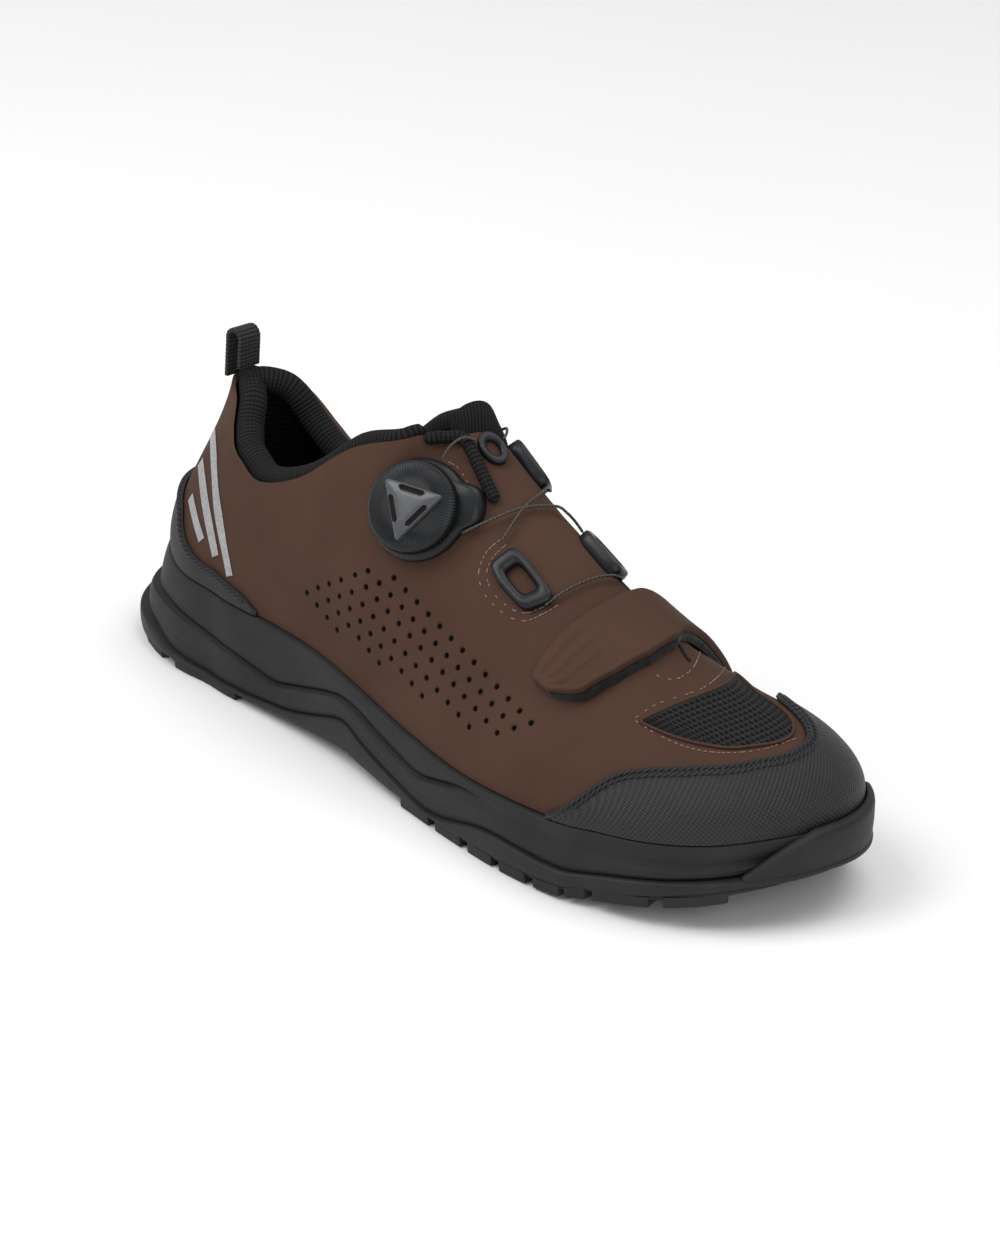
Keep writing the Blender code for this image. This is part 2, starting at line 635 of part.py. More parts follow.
def make_toe_cap(parts):
    numbers = [k / STEPS for k in range(round(TOE_CAP_EDGE[0].along * STEPS), LAST_SECTION * STEPS + 1)]
    stops = [(t, "out") for t in numbers] + [(t, "in") for t in numbers[-2::-1]]
    return make_overlay("toe_cap", TOE_CAP_EDGE, stops, parts, "black_overlay")


def make_heel_counter(parts):
    numbers = np.linspace(0, COUNTER_EDGE[-1].along, 13)
    stops = [(t, "out") for t in numbers[::-1]] + [(t, "in") for t in numbers[1:]]
    return make_overlay("heel_counter", COUNTER_EDGE, stops, parts, "black_overlay")


TongueTop = namedtuple("TongueTop", "along crest half fall")
# Arched rows that carry the tongue past the throat, from its rounded end inwards: along as a share of
# LAST_LENGTH, crest as a share of INSTEP_HEIGHT, half the width and the fall to its sides of BALL_WIDTH
TONGUE_TOP = (
    TongueTop(0.4229, 0.987, 0.077, 0.036),
    TongueTop(0.4282, 0.996, 0.103, 0.072),
    TongueTop(0.4405, 0.972, 0.108, 0.103),
    TongueTop(0.4529, 0.923, 0.118, 0.119),
)
TONGUE_MIDDLE = 0.028  # centre of these rows, as a share of BALL_WIDTH


def tongue_top_row(top, inwards):
    """One arched row, moved inwards for the tongue's inner face."""
    row = []
    for k in range(-5, 6):
        angle = math.radians(90) * k / 5
        y = TONGUE_MIDDLE * BALL_WIDTH + (top.half * BALL_WIDTH - inwards / 2) * math.sin(angle)
        z = top.crest * INSTEP_HEIGHT - inwards - top.fall * BALL_WIDTH * (1 - math.cos(angle))
        row.append(Vector((top.along * LAST_LENGTH, y, z)))
    return row


def make_tongue(parts):
    """A padded sheet under the throat, with a rounded top that stands out above it."""
    first = math.ceil(TONGUE_START * STEPS)
    numbers = [TONGUE_START] + [k / STEPS for k in range(first, TONGUE_TOE * STEPS + 1)]
    grids = []
    for inwards in (0.0, TONGUE_THICK):
        rows = [tongue_top_row(top, inwards) for top in TONGUE_TOP]
        for t in numbers:
            reach = float(np.interp(t, (8, 9.5), (0.20, 0.27)))
            under = -WALL - inwards - FIT_GAP * float(np.interp(t, (8, 9, 10), (8, 5, 3)))
            outer = [skin(t, "out", 1 - reach * k / 5, under) for k in range(5, 0, -1)]
            middle = [skin(t, "out", 1.0, under)]
            inner = [skin(t, "in", 1 - reach * k / 5, under) for k in range(1, 6)]
            rows.append(outer + middle + inner)
        grids.append(rows)
    return slab("tongue", grids[0], grids[1], parts, "black_knit")


def tube(name, points, radius, collection, finish):
    curve = bpy.data.curves.new(name, "CURVE")
    curve.dimensions = "3D"
    spline = curve.splines.new("POLY")
    spline.points.add(len(points) - 1)
    for point, co in zip(spline.points, points):
        point.co = (*co, 1.0)
    curve.bevel_depth = radius
    curve.bevel_resolution = TUBE_ROUND
    curve.use_fill_caps = True
    obj = bpy.data.objects.new(name, curve)
    collection.objects.link(obj)
    curve.materials.append(make_material(name, finish))
    return obj


def tube_to_mesh(obj, finish):
    graph = bpy.context.evaluated_depsgraph_get()
    mesh = bpy.data.meshes.new_from_object(obj.evaluated_get(graph))
    bm = bmesh.new()
    bm.from_mesh(mesh)
    bmesh.ops.remove_doubles(bm, verts=bm.verts, dist=0.00001)
    bmesh.ops.recalc_face_normals(bm, faces=bm.faces)
    bm.to_mesh(mesh)
    bm.free()
    mesh.materials.clear()
    name, collection = obj.name, obj.users_collection[0]
    curve = obj.data
    bpy.data.objects.remove(obj, do_unlink=True)
    bpy.data.curves.remove(curve)
    return add_mesh(name, mesh, collection, finish)


def roll_point(t, side):
    """A point on the middle line of the padded roll."""
    return skin(t, side, 0.975, -WALL - 9 * FIT_GAP - COLLAR_RADIUS)


def make_collar_lining(parts):
    """Padded roll inside the collar's edge, open at the throat."""
    numbers = [k / STEPS for k in range(round(7.33 * STEPS), -1, -1)]
    stops = [(t, "out") for t in numbers] + [(t, "in") for t in numbers[-2::-1]]
    points = [roll_point(t, side) for t, side in stops]
    return tube("collar_lining", points, COLLAR_RADIUS, parts, "black_knit")


def make_throat_binding(parts, last_form):
    a, b = BINDING_ENDS
    points = []
    for k in range(9):
        along = a.along + (b.along - a.along) * k / 8
        up = a.up + (b.up - a.up) * k / 8
        points.append(skin(section_at(along), "out", up, BINDING_RADIUS * 0.8))
    binding = tube_to_mesh(tube("throat_binding", points, BINDING_RADIUS, parts, "black_knit"), "black_knit")
    boolean(binding, last_form, "DIFFERENCE")
    return binding


def make_strap_layer(name, low_offset, thick, spread, parts, finish):
    """One layer of the strap, bent over the upper.  spread widens it past the strap's edges."""
    low, high = [], []
    ups = [2 - row.up if row.side == "in" else row.up for row in STRAP]
    for up in np.linspace(ups[0], ups[-1], 17):
        rear = float(np.interp(up, ups, [row.rear for row in STRAP])) * LAST_LENGTH - spread
        front = float(np.interp(up, ups, [row.front for row in STRAP])) * LAST_LENGTH + spread
        side = "out" if up <= 1 else "in"
        share = up if up <= 1 else 2 - up
        numbers = [section_at((rear + (front - rear) * k / 4) / LAST_LENGTH) for k in range(5)]
        low.append([skin(t, side, share, low_offset) for t in numbers])
        high.append([skin(t, side, share, low_offset + thick) for t in numbers])
    return slab(name, low, high, parts, finish)


def smooth_path(points, count):
    """Points along a smooth curve through the given ones."""
    line = [points[0]] + list(points) + [points[-1]]
    path = []
    for k in range(count):
        t = (len(points) - 1) * k / (count - 1)
        i = min(int(t), len(points) - 2)
        f = t - i
        before, a, b, after = line[i : i + 4]
        bend = (2 * before - 5 * a + 4 * b - after) * f**2 + (3 * a - before - 3 * b + after) * f**3
        path.append(a + 0.5 * ((b - before) * f + bend))
    return path


def make_lace(parts, cutters):
    """Cable held taut between dial and guides.  The two runs that cross are one solid."""
    runs = {}
    for name, route in LACE_RUNS.items():
        points = [skin(section_at(r.along), r.side, r.up, r.lift) for r in route]
        owner = cutters if name == "lace_crossing_under" else parts
        runs[name] = tube(name, smooth_path(points, RUN_POINTS), LACE_RADIUS, owner, "cable")
    crossing = tube_to_mesh(runs["lace_crossing"], "cable")
    under = tube_to_mesh(runs["lace_crossing_under"], "cable")
    boolean(crossing, as_cutter(under), "UNION")


def seat_frame(spot):
    """Axes on the upper at a spot: origin, along the slope, across and outwards."""
    t = section_at(spot.along)
    origin = skin_point(t, spot.side, spot.up)
    out = skin_normal(t, spot.side, spot.up)
    ahead = (skin_point(t + 0.05, spot.side, spot.up) - skin_point(t - 0.05, spot.side, spot.up)).normalized()
    ahead = (ahead - out * ahead.dot(out)).normalized()
    across = out.cross(ahead)
    return Matrix((ahead, across, out)).transposed().to_4x4(), origin


def placed_at(obj, spot):
    turn, origin = seat_frame(spot)
    obj.matrix_world = Matrix.Translation(origin) @ turn
    bpy.context.view_layer.update()
    return obj


def disc(name, diameter, low, high, collection, finish=None, sides=DIAL_SIDES, taper=0.0, stretch=1.0):
    """A round or oval plate between two levels along its own Z."""
    profiles = []
    levels = [(low, 0.0), (high - taper, 0.0), (high, taper)] if taper else [(low, 0.0), (high, 0.0)]
    for level, pull in levels:
        r = diameter / 2 - pull
        angles = [2 * math.pi * k / sides for k in range(sides)]
        profiles.append([Vector((r * math.cos(a) * stretch, r * math.sin(a), level)) for a in angles])
    return ring_mesh(name, profiles, collection, finish)


def make_dial(parts, cutters, last_form):
    """Base seated on the upper, with the knob that winds the cable above it."""
    finish = "black_plastic"
    base = disc("dial_base", DIAL_BASE_DIAMETER, -SEAT_DEPTH, DIAL_BASE_HEIGHT, parts, finish, taper=0.0008)
    placed_at(base, DIAL_SPOT)
    boolean(base, last_form, "DIFFERENCE")
    knob_low = DIAL_BASE_HEIGHT + FIT_GAP
    knob_high = knob_low + DIAL_HEIGHT
    knob = disc("dial_knob", DIAL_DIAMETER, knob_low, knob_high, parts, finish, taper=0.0018)
    placed_at(knob, DIAL_SPOT)
    for k in range(3):
        floor = knob_high - DIAL_SLOT_DEPTH
        name = f"dial_slot_{k}"
        slot = disc(name, DIAL_SLOT_WIDTH, floor, knob_high + FIT_GAP, cutters, sides=12, stretch=2.4)
        placed_at(slot, DIAL_SPOT)
        angle = 2 * math.pi * k / 3 + math.pi / 2
        offset = Matrix.Rotation(angle, 4, "Z") @ Matrix.Translation((0, DIAL_SLOT_RADIUS, 0))
        slot.matrix_world = slot.matrix_world @ offset
        boolean(knob, as_cutter(slot), "DIFFERENCE")
    return base, knob


# Outline of a lace guide, as shares of half its length and half its width
GUIDE_OUTLINE = ((-1.0, -0.45), (-0.72, -1.0), (0.55, -1.0), (1.0, -0.2), (0.92, 1.0), (-0.8, 1.0))


def make_guide(name, spot, mirrored, parts, cutters, last_form):
    """A D-shaped lace guide: a frame with a window, seated on the upper."""
    half_l, half_w = GUIDE_LENGTH / 2, GUIDE_WIDTH / 2
    way = -1 if mirrored else 1
    outline = [(x * half_l, y * half_w * way) for x, y in GUIDE_OUTLINE]
    inner = [(x * (1 - GUIDE_BAR / half_l), y * (1 - GUIDE_BAR / half_w)) for x, y in outline]
    guide = prism(name, outline, -SEAT_DEPTH, GUIDE_HEIGHT, parts, "black_plastic")
    window = prism(f"{name}_window", inner, -2 * SEAT_DEPTH, 2 * GUIDE_HEIGHT, cutters)
    for obj in (guide, window):
        placed_at(obj, spot)
    boolean(guide, as_cutter(window), "DIFFERENCE")
    boolean(guide, last_form, "DIFFERENCE")
    return guide


def make_eyelet(name, spot, parts, cutters, last_form):
    """An oval ring the cable runs through, seated on the upper."""
    ratio = EYELET_LENGTH / EYELET_WIDTH
    ring = disc(name, EYELET_WIDTH, -SEAT_DEPTH / 2, EYELET_HEIGHT, parts, "black_plastic", 20, 0.0006, ratio)
    low, high = -SEAT_DEPTH, 2 * EYELET_HEIGHT
    hole = disc(f"{name}_hole", EYELET_WIDTH / 2, low, high, cutters, sides=16, stretch=ratio)
    for obj in (ring, hole):
        placed_at(obj, spot)
    boolean(ring, as_cutter(hole), "DIFFERENCE")
    boolean(ring, last_form, "DIFFERENCE")
    return ring


def make_pull_loop(parts):
    """Folded webbing that stands on the back of the collar."""
    rim = skin(0, "out", 1.0)
    low = rim.z + 2 * FIT_GAP
    inner_low = roll_point(0, "out").z + COLLAR_RADIUS + FIT_GAP
    middle = rim.x + 0.5 * LOOP_DEPTH
    outline = []
    for grow in (0.0, LOOP_THICK):
        half = LOOP_DEPTH / 2 - LOOP_THICK + grow
        centre = low + LOOP_RISE - LOOP_DEPTH / 2
        arc = [(middle + half * math.cos(a), centre + half * math.sin(a)) for a in np.linspace(math.pi, 0, 9)]
        outline.append([(middle - half, low)] + arc + [(middle + half, inner_low)])
    loops = []
    for y in (-LOOP_WIDTH / 2, LOOP_WIDTH / 2):
        loops.append([[Vector((x, y, z)) for x, z in line] for line in outline])
    grid_low = [loops[0][0], loops[1][0]]
    grid_high = [loops[0][1], loops[1][1]]
    return slab("pull_loop", grid_low, grid_high, parts, "black_knit")


def move_to_origin(*collections):
    """Sets the middle of the sole's outline, which is the longest and widest part, over the origin."""
    outline = sole_ring(lambda s: s.tread, lambda s: 0.0)
    xs = [p.x for p in outline]
    ys = [p.y for p in outline]
    middle = Vector(((min(xs) + max(xs)) / 2, (min(ys) + max(ys)) / 2, 0))
    for collection in collections:
        for obj in collection.objects:
            obj.location -= middle


def main():
    clear_scene()
    parts = new_collection("cycling_shoe")
    cutters = new_collection("cutters")
    last_form = make_last_cutter(cutters)
    make_outsole(parts, cutters)
    make_midsole(parts)
    make_insole(parts)
    make_upper(parts, cutters)
    make_toe_cap(parts)
    make_heel_counter(parts)
    make_collar_lining(parts)
    make_tongue(parts)
    make_throat_binding(parts, last_form)
    make_strap_layer("strap_pad", FIT_GAP, STRAP_PAD_THICK, -0.0006, parts, "black_knit")
    strap_low = 2 * FIT_GAP + STRAP_PAD_THICK
    make_strap_layer("strap", strap_low, STRAP_THICK, 0.0, parts, "brown_microfibre")
    make_dial(parts, cutters, last_form)
    make_eyelet("guide_outer_upper", EYELET_SPOT, parts, cutters, last_form)
    make_guide("guide_outer_lower", OUTER_GUIDE_SPOT, False, parts, cutters, last_form)
    make_guide("guide_inner_lower", INNER_GUIDE_SPOT, True, parts, cutters, last_form)
    make_guide("guide_inner_upper", INNER_TOP_GUIDE_SPOT, True, parts, cutters, last_form)
    make_pull_loop(parts)
    make_lace(parts, cutters)
    move_to_origin(parts, cutters)


main()
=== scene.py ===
# %% [markdown]
# # Cycling shoe, right foot
# This scene dresses the CAD model of the shoe for one picture. The CAD gives the places and sizes, and each
# piece here is a finer skin over the same form: the upper with its perforations and folds, the stepped foam
# and the rubber below it, the overlays, the dial, the guides and the cable, and the strap.
# The shoe stands on the floor at z 0. +X is towards the toe, -Y is its outer side and lengths are in metres.
# %% Frame
import json
import math
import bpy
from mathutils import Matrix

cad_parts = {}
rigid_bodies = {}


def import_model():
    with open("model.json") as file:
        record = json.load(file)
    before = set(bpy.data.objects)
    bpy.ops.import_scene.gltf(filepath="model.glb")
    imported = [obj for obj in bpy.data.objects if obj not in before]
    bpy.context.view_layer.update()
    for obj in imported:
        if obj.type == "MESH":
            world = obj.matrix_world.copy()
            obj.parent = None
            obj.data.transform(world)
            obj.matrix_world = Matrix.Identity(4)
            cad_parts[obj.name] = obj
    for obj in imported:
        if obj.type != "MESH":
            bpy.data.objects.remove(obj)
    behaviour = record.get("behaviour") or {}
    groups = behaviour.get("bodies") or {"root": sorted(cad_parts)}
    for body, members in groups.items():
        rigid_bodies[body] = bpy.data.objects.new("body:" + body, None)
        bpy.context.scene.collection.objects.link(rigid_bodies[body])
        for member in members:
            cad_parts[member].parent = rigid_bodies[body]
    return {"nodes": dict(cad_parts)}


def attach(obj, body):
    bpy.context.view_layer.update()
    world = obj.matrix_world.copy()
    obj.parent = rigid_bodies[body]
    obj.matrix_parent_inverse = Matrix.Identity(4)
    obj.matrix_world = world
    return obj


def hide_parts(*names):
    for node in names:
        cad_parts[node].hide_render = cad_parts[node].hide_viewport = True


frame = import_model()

from types import SimpleNamespace

import bmesh
import bpy
import numpy as np
from mathutils import Matrix, Vector
from mathutils.bvhtree import BVHTree

for name in ("Cube", "Light", "Camera"):  # Blender's own start objects, if there are any
    if name in bpy.data.objects:
        bpy.data.objects.remove(bpy.data.objects[name], do_unlink=True)
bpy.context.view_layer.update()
print("CAD nodes:", sorted(frame["nodes"]))

# %% [markdown]
# ## Sizes of the last and the sole
# A shoe is designed over a last, the solid form of the foot. The same rows of sizes as in the CAD source
# describe it here: each is an upright section through the last, with the height and flare of the sole wall
# there. Working from the sections, and not from the faceted mesh, keeps every surface smooth, and anything
# can be placed by two numbers: how far round the shoe and how far up the wall.
# %% Sizes
LAST_LENGTH, BALL_WIDTH = 0.283, 0.097
COLLAR_HEIGHT, INSTEP_HEIGHT, SOLE_WALL = 0.094, 0.120, 0.036
WALL, FIT_GAP = 0.0022, 0.0003
CUP_DEPTH, CUP_LIP, CUP_WALL, CUP_DRAFT, SOLE_BEVEL = 0.005, 0.0020, 0.0022, 0.0010, 0.0008
LUG_DEPTH, LUG_ROOT, LUG_WIDTH, LUG_REACH = 0.0030, 0.0010, 0.015, 0.88
OVERLAY, OVERLAY_GAP = 0.0012, 0.0005
COLLAR_RADIUS, BINDING_RADIUS, LACE_RADIUS = 0.0042, 0.0021, 0.0006
TONGUE_THICK, STRAP_THICK, STRAP_PAD_THICK = 0.0045, 0.0024, 0.0026
MIDDLE = np.array([-0.13667, 0.00405, 0.0])  # from the heel of the last to the middle of the shoe
MM = 0.001

# pivot_x pivot_y turn foot_out foot_in rim_out rim_in high_out high_in swell rise crown_out crown_in drop
# slope
BACK_SECTIONS = (
    (0.121, 0.00, 180, 0.366, 0.366, 0.250, 0.250, 1.00, 1.00, 0.020, 0.35, 0.08, 0.08, 0.30, 0),
    (0.122, 0.00, 150, 0.366, 0.361, 0.182, 0.228, 0.965, 1.00, 0.020, 0.35, 0.12, 0.10, 0.30, 0),
    (0.125, 0.00, 120, 0.351, 0.345, 0.190, 0.230, 0.885, 0.96, 0.020, 0.35, 0.15, 0.13, 0.30, 0),
    (0.134, 0.00, 90, 0.345, 0.330, 0.238, 0.240, 0.830, 0.845, 0.020, 0.35, 0.14, 0.13, 0.30, 0),
    (0.184, 0.00, 90, 0.366, 0.325, 0.278, 0.250, 0.805, 0.780, 0.020, 0.38, 0.14, 0.14, 0.32, 0),
    (0.261, 0.00, 90, 0.376, 0.309, 0.294, 0.262, 0.90, 0.870, 0.022, 0.40, 0.16, 0.16, 0.32, 0),
)
FRONT_SECTIONS = (
    (0.339, 0.00, 90, 0.397, 0.299, 0.273, 0.245, 0.850, 0.830, 0.024, 0.40, 0.20, 0.18, 0.30, 0),
    (0.410, 0.00, 90, 0.423, 0.309, 0.235, 0.200, 0.925, 0.925, 0.022, 0.40, 0.24, 0.20, 0.22, 0),
    (0.456, 0.01, 90, 0.454, 0.309, 0.000, 0.000, 0.955, 0.955, 0.020, 0.38, 0.42, 0.36, 0.02, 0),
    (0.530, 0.02, 90, 0.495, 0.325, 0.000, 0.000, 0.840, 0.840, 0.018, 0.39, 0.42, 0.31, 0.00, 0),
    (0.622, 0.03, 90, 0.546, 0.356, 0.000, 0.000, 0.712, 0.712, 0.016, 0.40, 0.43, 0.25, 0.00, 0),
    (0.714, 0.03, 90, 0.572, 0.398, 0.000, 0.000, 0.606, 0.606, 0.016, 0.42, 0.45, 0.21, 0.00, 0),
    (0.799, 0.03, 90, 0.567, 0.423, 0.000, 0.000, 0.532, 0.532, 0.016, 0.45, 0.50, 0.24, 0.00, 0),
    (0.848, 0.03, 90, 0.526, 0.430, 0.000, 0.000, 0.494, 0.494, 0.016, 0.48, 0.54, 0.34, 0.00, 0.33),
    (0.858, 0.03, 60, 0.457, 0.430, 0.000, 0.000, 0.485, 0.485, 0.014, 0.49, 0.54, 0.42, 0.00, 0.33),
    (0.861, 0.03, 30, 0.408, 0.432, 0.000, 0.000, 0.482, 0.482, 0.012, 0.50, 0.54, 0.50, 0.00, 0.33),
    (0.862, 0.03, 0, 0.408, 0.408, 0.000, 0.000, 0.481, 0.481, 0.010, 0.50, 0.54, 0.54, 0.00, 0.33),
)
# line step seam ground cup tread
SOLE = (
    (1.110, 0.60, 0.40, 0.04, 0.115, 0.160), (1.050, 0.58, 0.30, 0.01, 0.095, 0.130),
    (0.945, 0.53, 0.17, 0.00, 0.060, 0.080), (0.917, 0.53, 0.16, 0.00, 0.038, 0.050),
    (0.917, 0.51, 0.17, 0.00, 0.028, 0.038), (0.917, 0.46, 0.24, 0.00, 0.028, 0.036),
    (0.903, 0.50, 0.32, 0.06, 0.028, 0.036), (0.833, 0.66, 0.42, 0.09, 0.028, 0.036),
    (0.778, 0.58, 0.37, 0.05, 0.030, 0.038), (0.690, 0.48, 0.29, 0.00, 0.030, 0.040),
    (0.640, 0.50, 0.26, 0.00, 0.030, 0.042), (0.667, 0.56, 0.34, 0.00, 0.030, 0.042),
    (0.708, 0.60, 0.38, 0.03, 0.028, 0.042), (0.736, 0.62, 0.42, 0.10, 0.028, 0.042),
    (0.790, 0.64, 0.48, 0.22, 0.022, 0.045), (0.833, 0.66, 0.54, 0.34, 0.014, 0.060),
    (0.847, 0.67, 0.56, 0.40, 0.012, 0.068),
)
FIELDS = ("pivot_x pivot_y turn foot_out foot_in rim_out rim_in high_out high_in swell rise crown_out "
          "crown_in drop slope line step seam ground cup tread").split()
TOE, HALF_WAY = 16, 8  # numbers of the toe's section and of the first one past the collar
ROUND = 2 * TOE  # once round the shoe: outer side 0 to 16, then back along the inner side to 32


def section_table():
    table = []
    for sections, height in ((BACK_SECTIONS, COLLAR_HEIGHT), (FRONT_SECTIONS, INSTEP_HEIGHT)):
        for s in sections:
            widths = [w * BALL_WIDTH for w in s[3:7]]
            table.append([s[0] * LAST_LENGTH, s[1] * BALL_WIDTH, s[2], *widths, s[7] * height, s[8] * height,
                          s[9] * BALL_WIDTH, *s[10:]])
    for row, s in zip(table, SOLE):
        row += [v * SOLE_WALL for v in s[:4]] + [v * BALL_WIDTH for v in s[4:]]
    return np.array(table)


TABLE = section_table()


def curve(before, p, q, after, f):
    """A smooth curve from p to q, at the share f of the way."""
    return p + 0.5 * ((q - before) * f + (2 * before - 5 * p + 4 * q - after) * f**2
                      + (3 * p - before - 3 * q + after) * f**3)


def sizes_at(a):
    """All sizes of the section at a, and on which side it is."""
    a = np.asarray(a, float) % ROUND
    outer = a <= TOE
    t = np.where(outer, a, ROUND - a)
    i = np.minimum(t.astype(int), TOE - 1)
    row = curve(*(TABLE[np.clip(i + k, 0, TOE)] for k in (-1, 0, 1, 2)), (t - i)[..., None])
    s = SimpleNamespace(**{name: row[..., k] for k, name in enumerate(FIELDS)})
    for name in ("foot", "rim", "high", "crown"):
        setattr(s, name, np.where(outer, getattr(s, name + "_out"), getattr(s, name + "_in")))
    s.rim, s.ground, s.t, s.outer = np.maximum(s.rim, 0), np.maximum(s.ground, 0), t, outer
    return s


def placed(s, radius, z):
    """Points in the sections' planes, at a distance from their pivots."""
    angle = np.radians(s.turn)
    x = s.pivot_x + radius * np.cos(angle)
    y = s.pivot_y + np.where(s.outer, -1, 1) * radius * np.sin(angle)
    return np.stack(np.broadcast_arrays(x, y, z), -1) + MIDDLE


def last(a, up):
    """Points on the last: up is 0 at the foot line and 1 at the top, and past 1 it runs on over the ridge."""
    a, up = np.broadcast_arrays(np.asarray(a, float) % ROUND, np.asarray(up, float))
    a, up = np.where(up > 1, (ROUND - a) % ROUND, a), np.where(up > 1, 2 - up, up)
    s = sizes_at(a)
    low = s.line + 2 * FIT_GAP
    handle = s.rim + s.crown * s.foot
    handle_z = s.high - s.drop * (s.high - low) - s.slope * np.cos(np.radians(s.turn)) * handle
    weights = (1 - up) ** 3, 3 * (1 - up) ** 2 * up, 3 * (1 - up) * up**2, up**3
    radii = s.foot, s.foot + s.swell, handle, s.rim
    levels = low, low + s.rise * (s.high - low), handle_z, s.high
    return placed(s, sum(w * r for w, r in zip(weights, radii)), sum(w * z for w, z in zip(weights, levels)))


def unit(v):
    return v / np.maximum(np.linalg.norm(v, axis=-1), 1e-12)[..., None]


def facing(a, up):
    """Which way the last's surface faces."""
    a, up = np.broadcast_arrays(np.asarray(a, float), np.asarray(up, float))
    t = sizes_at(a).t
    up = np.clip(up, 0.012, np.where(t < HALF_WAY, 0.96, np.where(t < 12.5, 1.9, 0.97)))
    along = last(a + 0.02, up) - last(a - 0.02, up)
    rising = last(a, up + 0.01) - last(a, up - 0.01)
    return unit(np.cross(along, rising))


def skin(a, up, lift=0.0):
    """Points above the last, or under it for a negative lift."""
    return last(a, up) + facing(a, up) * np.asarray(lift, float)[..., None]


NUMBERS = np.linspace(3, 13, 401)
PIVOTS = sizes_at(NUMBERS).pivot_x / LAST_LENGTH


def at_share(share, side="out"):
    """The place round the shoe whose section stands at a share of the last's length."""
    t = np.interp(share, PIVOTS, NUMBERS)
    return t if side == "out" else ROUND - t


print("last over the wall, mm:", np.round(last(np.arange(0, 17, 4), 1.0) * 1000, 1).tolist())

# %% [markdown]
# ## The picture's view
# The camera is set before anything else, since small things on the upper, such as holes and stitches, are
# placed where the picture shows them: a ray from the camera through a picture point meets the upper there.
# %% View
AIM = np.array([0.00453, 0.00105, 0.045])
AZIMUTH, ELEVATION, ROLL, DISTANCE = math.radians(43.9), math.radians(24.7), math.radians(3.6), 1.6
LENS, SENSOR, SHIFT_X, SHIFT_Y = 141.68, 36.0, 0.00813, 0.01177
PICTURE_WIDTH, PICTURE_HEIGHT = 1000, 1241

BACK = np.array([math.sin(AZIMUTH) * math.cos(ELEVATION), -math.cos(AZIMUTH) * math.cos(ELEVATION),
                 math.sin(ELEVATION)])
LEVEL = np.array([math.cos(AZIMUTH), math.sin(AZIMUTH), 0])
RIGHT = math.cos(ROLL) * LEVEL + math.sin(ROLL) * np.cross(BACK, LEVEL)
UP = -math.sin(ROLL) * LEVEL + math.cos(ROLL) * np.cross(BACK, LEVEL)
EYE = AIM + DISTANCE * BACK


def rays(picture_points):
    """Directions from the camera through picture points."""
    x, y = np.asarray(picture_points, float).T
    across = ((x - PICTURE_WIDTH / 2) / PICTURE_HEIGHT + SHIFT_X) * SENSOR
    rise = ((PICTURE_HEIGHT / 2 - y) / PICTURE_HEIGHT + SHIFT_Y) * SENSOR
    return unit(across[:, None] * RIGHT + rise[:, None] * UP - BACK * LENS)


def seen_on(picture_points, where, height):
    """Places on a plane at a height over a seat, in the seat's own directions, under picture points."""
    origin, turn = where
    ways = rays(picture_points)
    far = ((origin + turn[2] * height - EYE) @ turn[2]) / (ways @ turn[2])
    return ((EYE + ways * far[:, None] - origin) @ turn.T)[:, :2]


def seen(picture_points, tree, lift=0.0):
    """Points of a surface under picture points, a little above it, with the way it faces."""
    points, ways = [], []
    for ray in rays(picture_points):
        hit, way, _, _ = tree.ray_cast(Vector(EYE), Vector(ray))
        if hit is None:
            continue
        way = np.array(way) if way.dot(Vector(ray)) < 0 else -np.array(way)
        points.append(np.array(hit) + way * lift)
        ways.append(way)
    return np.array(points), np.array(ways)


# %% [markdown]
# ## Tools for meshes
# Most pieces are sheets: a grid of points on the outside, a second one inside and a rim between them. The
# grid is laid out in the shoe's own directions, so a sheet bends with the last and its texture runs with it.
# Each face corner also gets a place in millimetres, which the woven materials use.
# %% Mesh tools
SHARP = math.radians(50)


def smooth_path(points, count):
    """Points along a smooth curve through the given ones."""
    p = np.asarray(points, float)
    line = np.concatenate([p[:1], p, p[-1:]])
    t = np.linspace(0, len(p) - 1, count)
    i = np.minimum(t.astype(int), len(p) - 2)
    return curve(*(line[i + k] for k in range(4)), (t - i)[:, None])


def even_path(points, count):
    """The same path with its points at equal distances."""
    p = np.asarray(points, float)
    run = np.concatenate([[0], np.cumsum(np.linalg.norm(np.diff(p, axis=0), axis=1))])
    at = np.linspace(0, run[-1], count)
    return np.stack([np.interp(at, run, p[:, k]) for k in range(p.shape[1])], -1)


def spaced(count, length, edge=(0.2, 0.5, 0.9)):
    """Shares from 0 to 1, closer together near both ends of a length in millimetres."""
    ends = np.array(edge) / length
    return np.unique(np.concatenate([np.linspace(0, 1, count), ends, 1 - ends]))


def turns(count):
    """Angles at equal steps round a circle."""
    return 2 * np.pi * np.arange(count) / count


def run_along(grid, axis):
    """Distance along one axis of a grid of points."""
    step = np.linalg.norm(np.diff(grid, axis=axis), axis=-1)
    start = np.zeros_like(np.take(step, [0], axis=axis))
    return np.cumsum(np.concatenate([start, step], axis=axis), axis=axis)


def from_edge(grid):
    """Distance of each point of a grid from the grid's border."""
    away = []
    for axis in (0, 1):
        run = run_along(grid, axis)
        away += [run, np.take(run, [-1], axis=axis) - run]
    return np.minimum.reduce(away)


def rise_at(away, thick, edge):
    """Height of a sheet's top at a distance from its border, which is rounded over the width of edge."""
    return thick * (0.3 + 0.7 * np.sqrt(1 - (1 - np.clip(away / edge, 0, 1)) ** 2))


def mm_uv(grid, wrap=False):
    """A list of the places of a grid's points, in millimetres along its two directions."""
    if wrap:
        grid = np.concatenate([grid, grid[:1]])
    along, across = run_along(grid, 0), run_along(grid, 1)
    middle = grid.shape[0] // 2
    return np.stack([along - along[middle : middle + 1], across], -1).reshape(-1, 2) * 1000


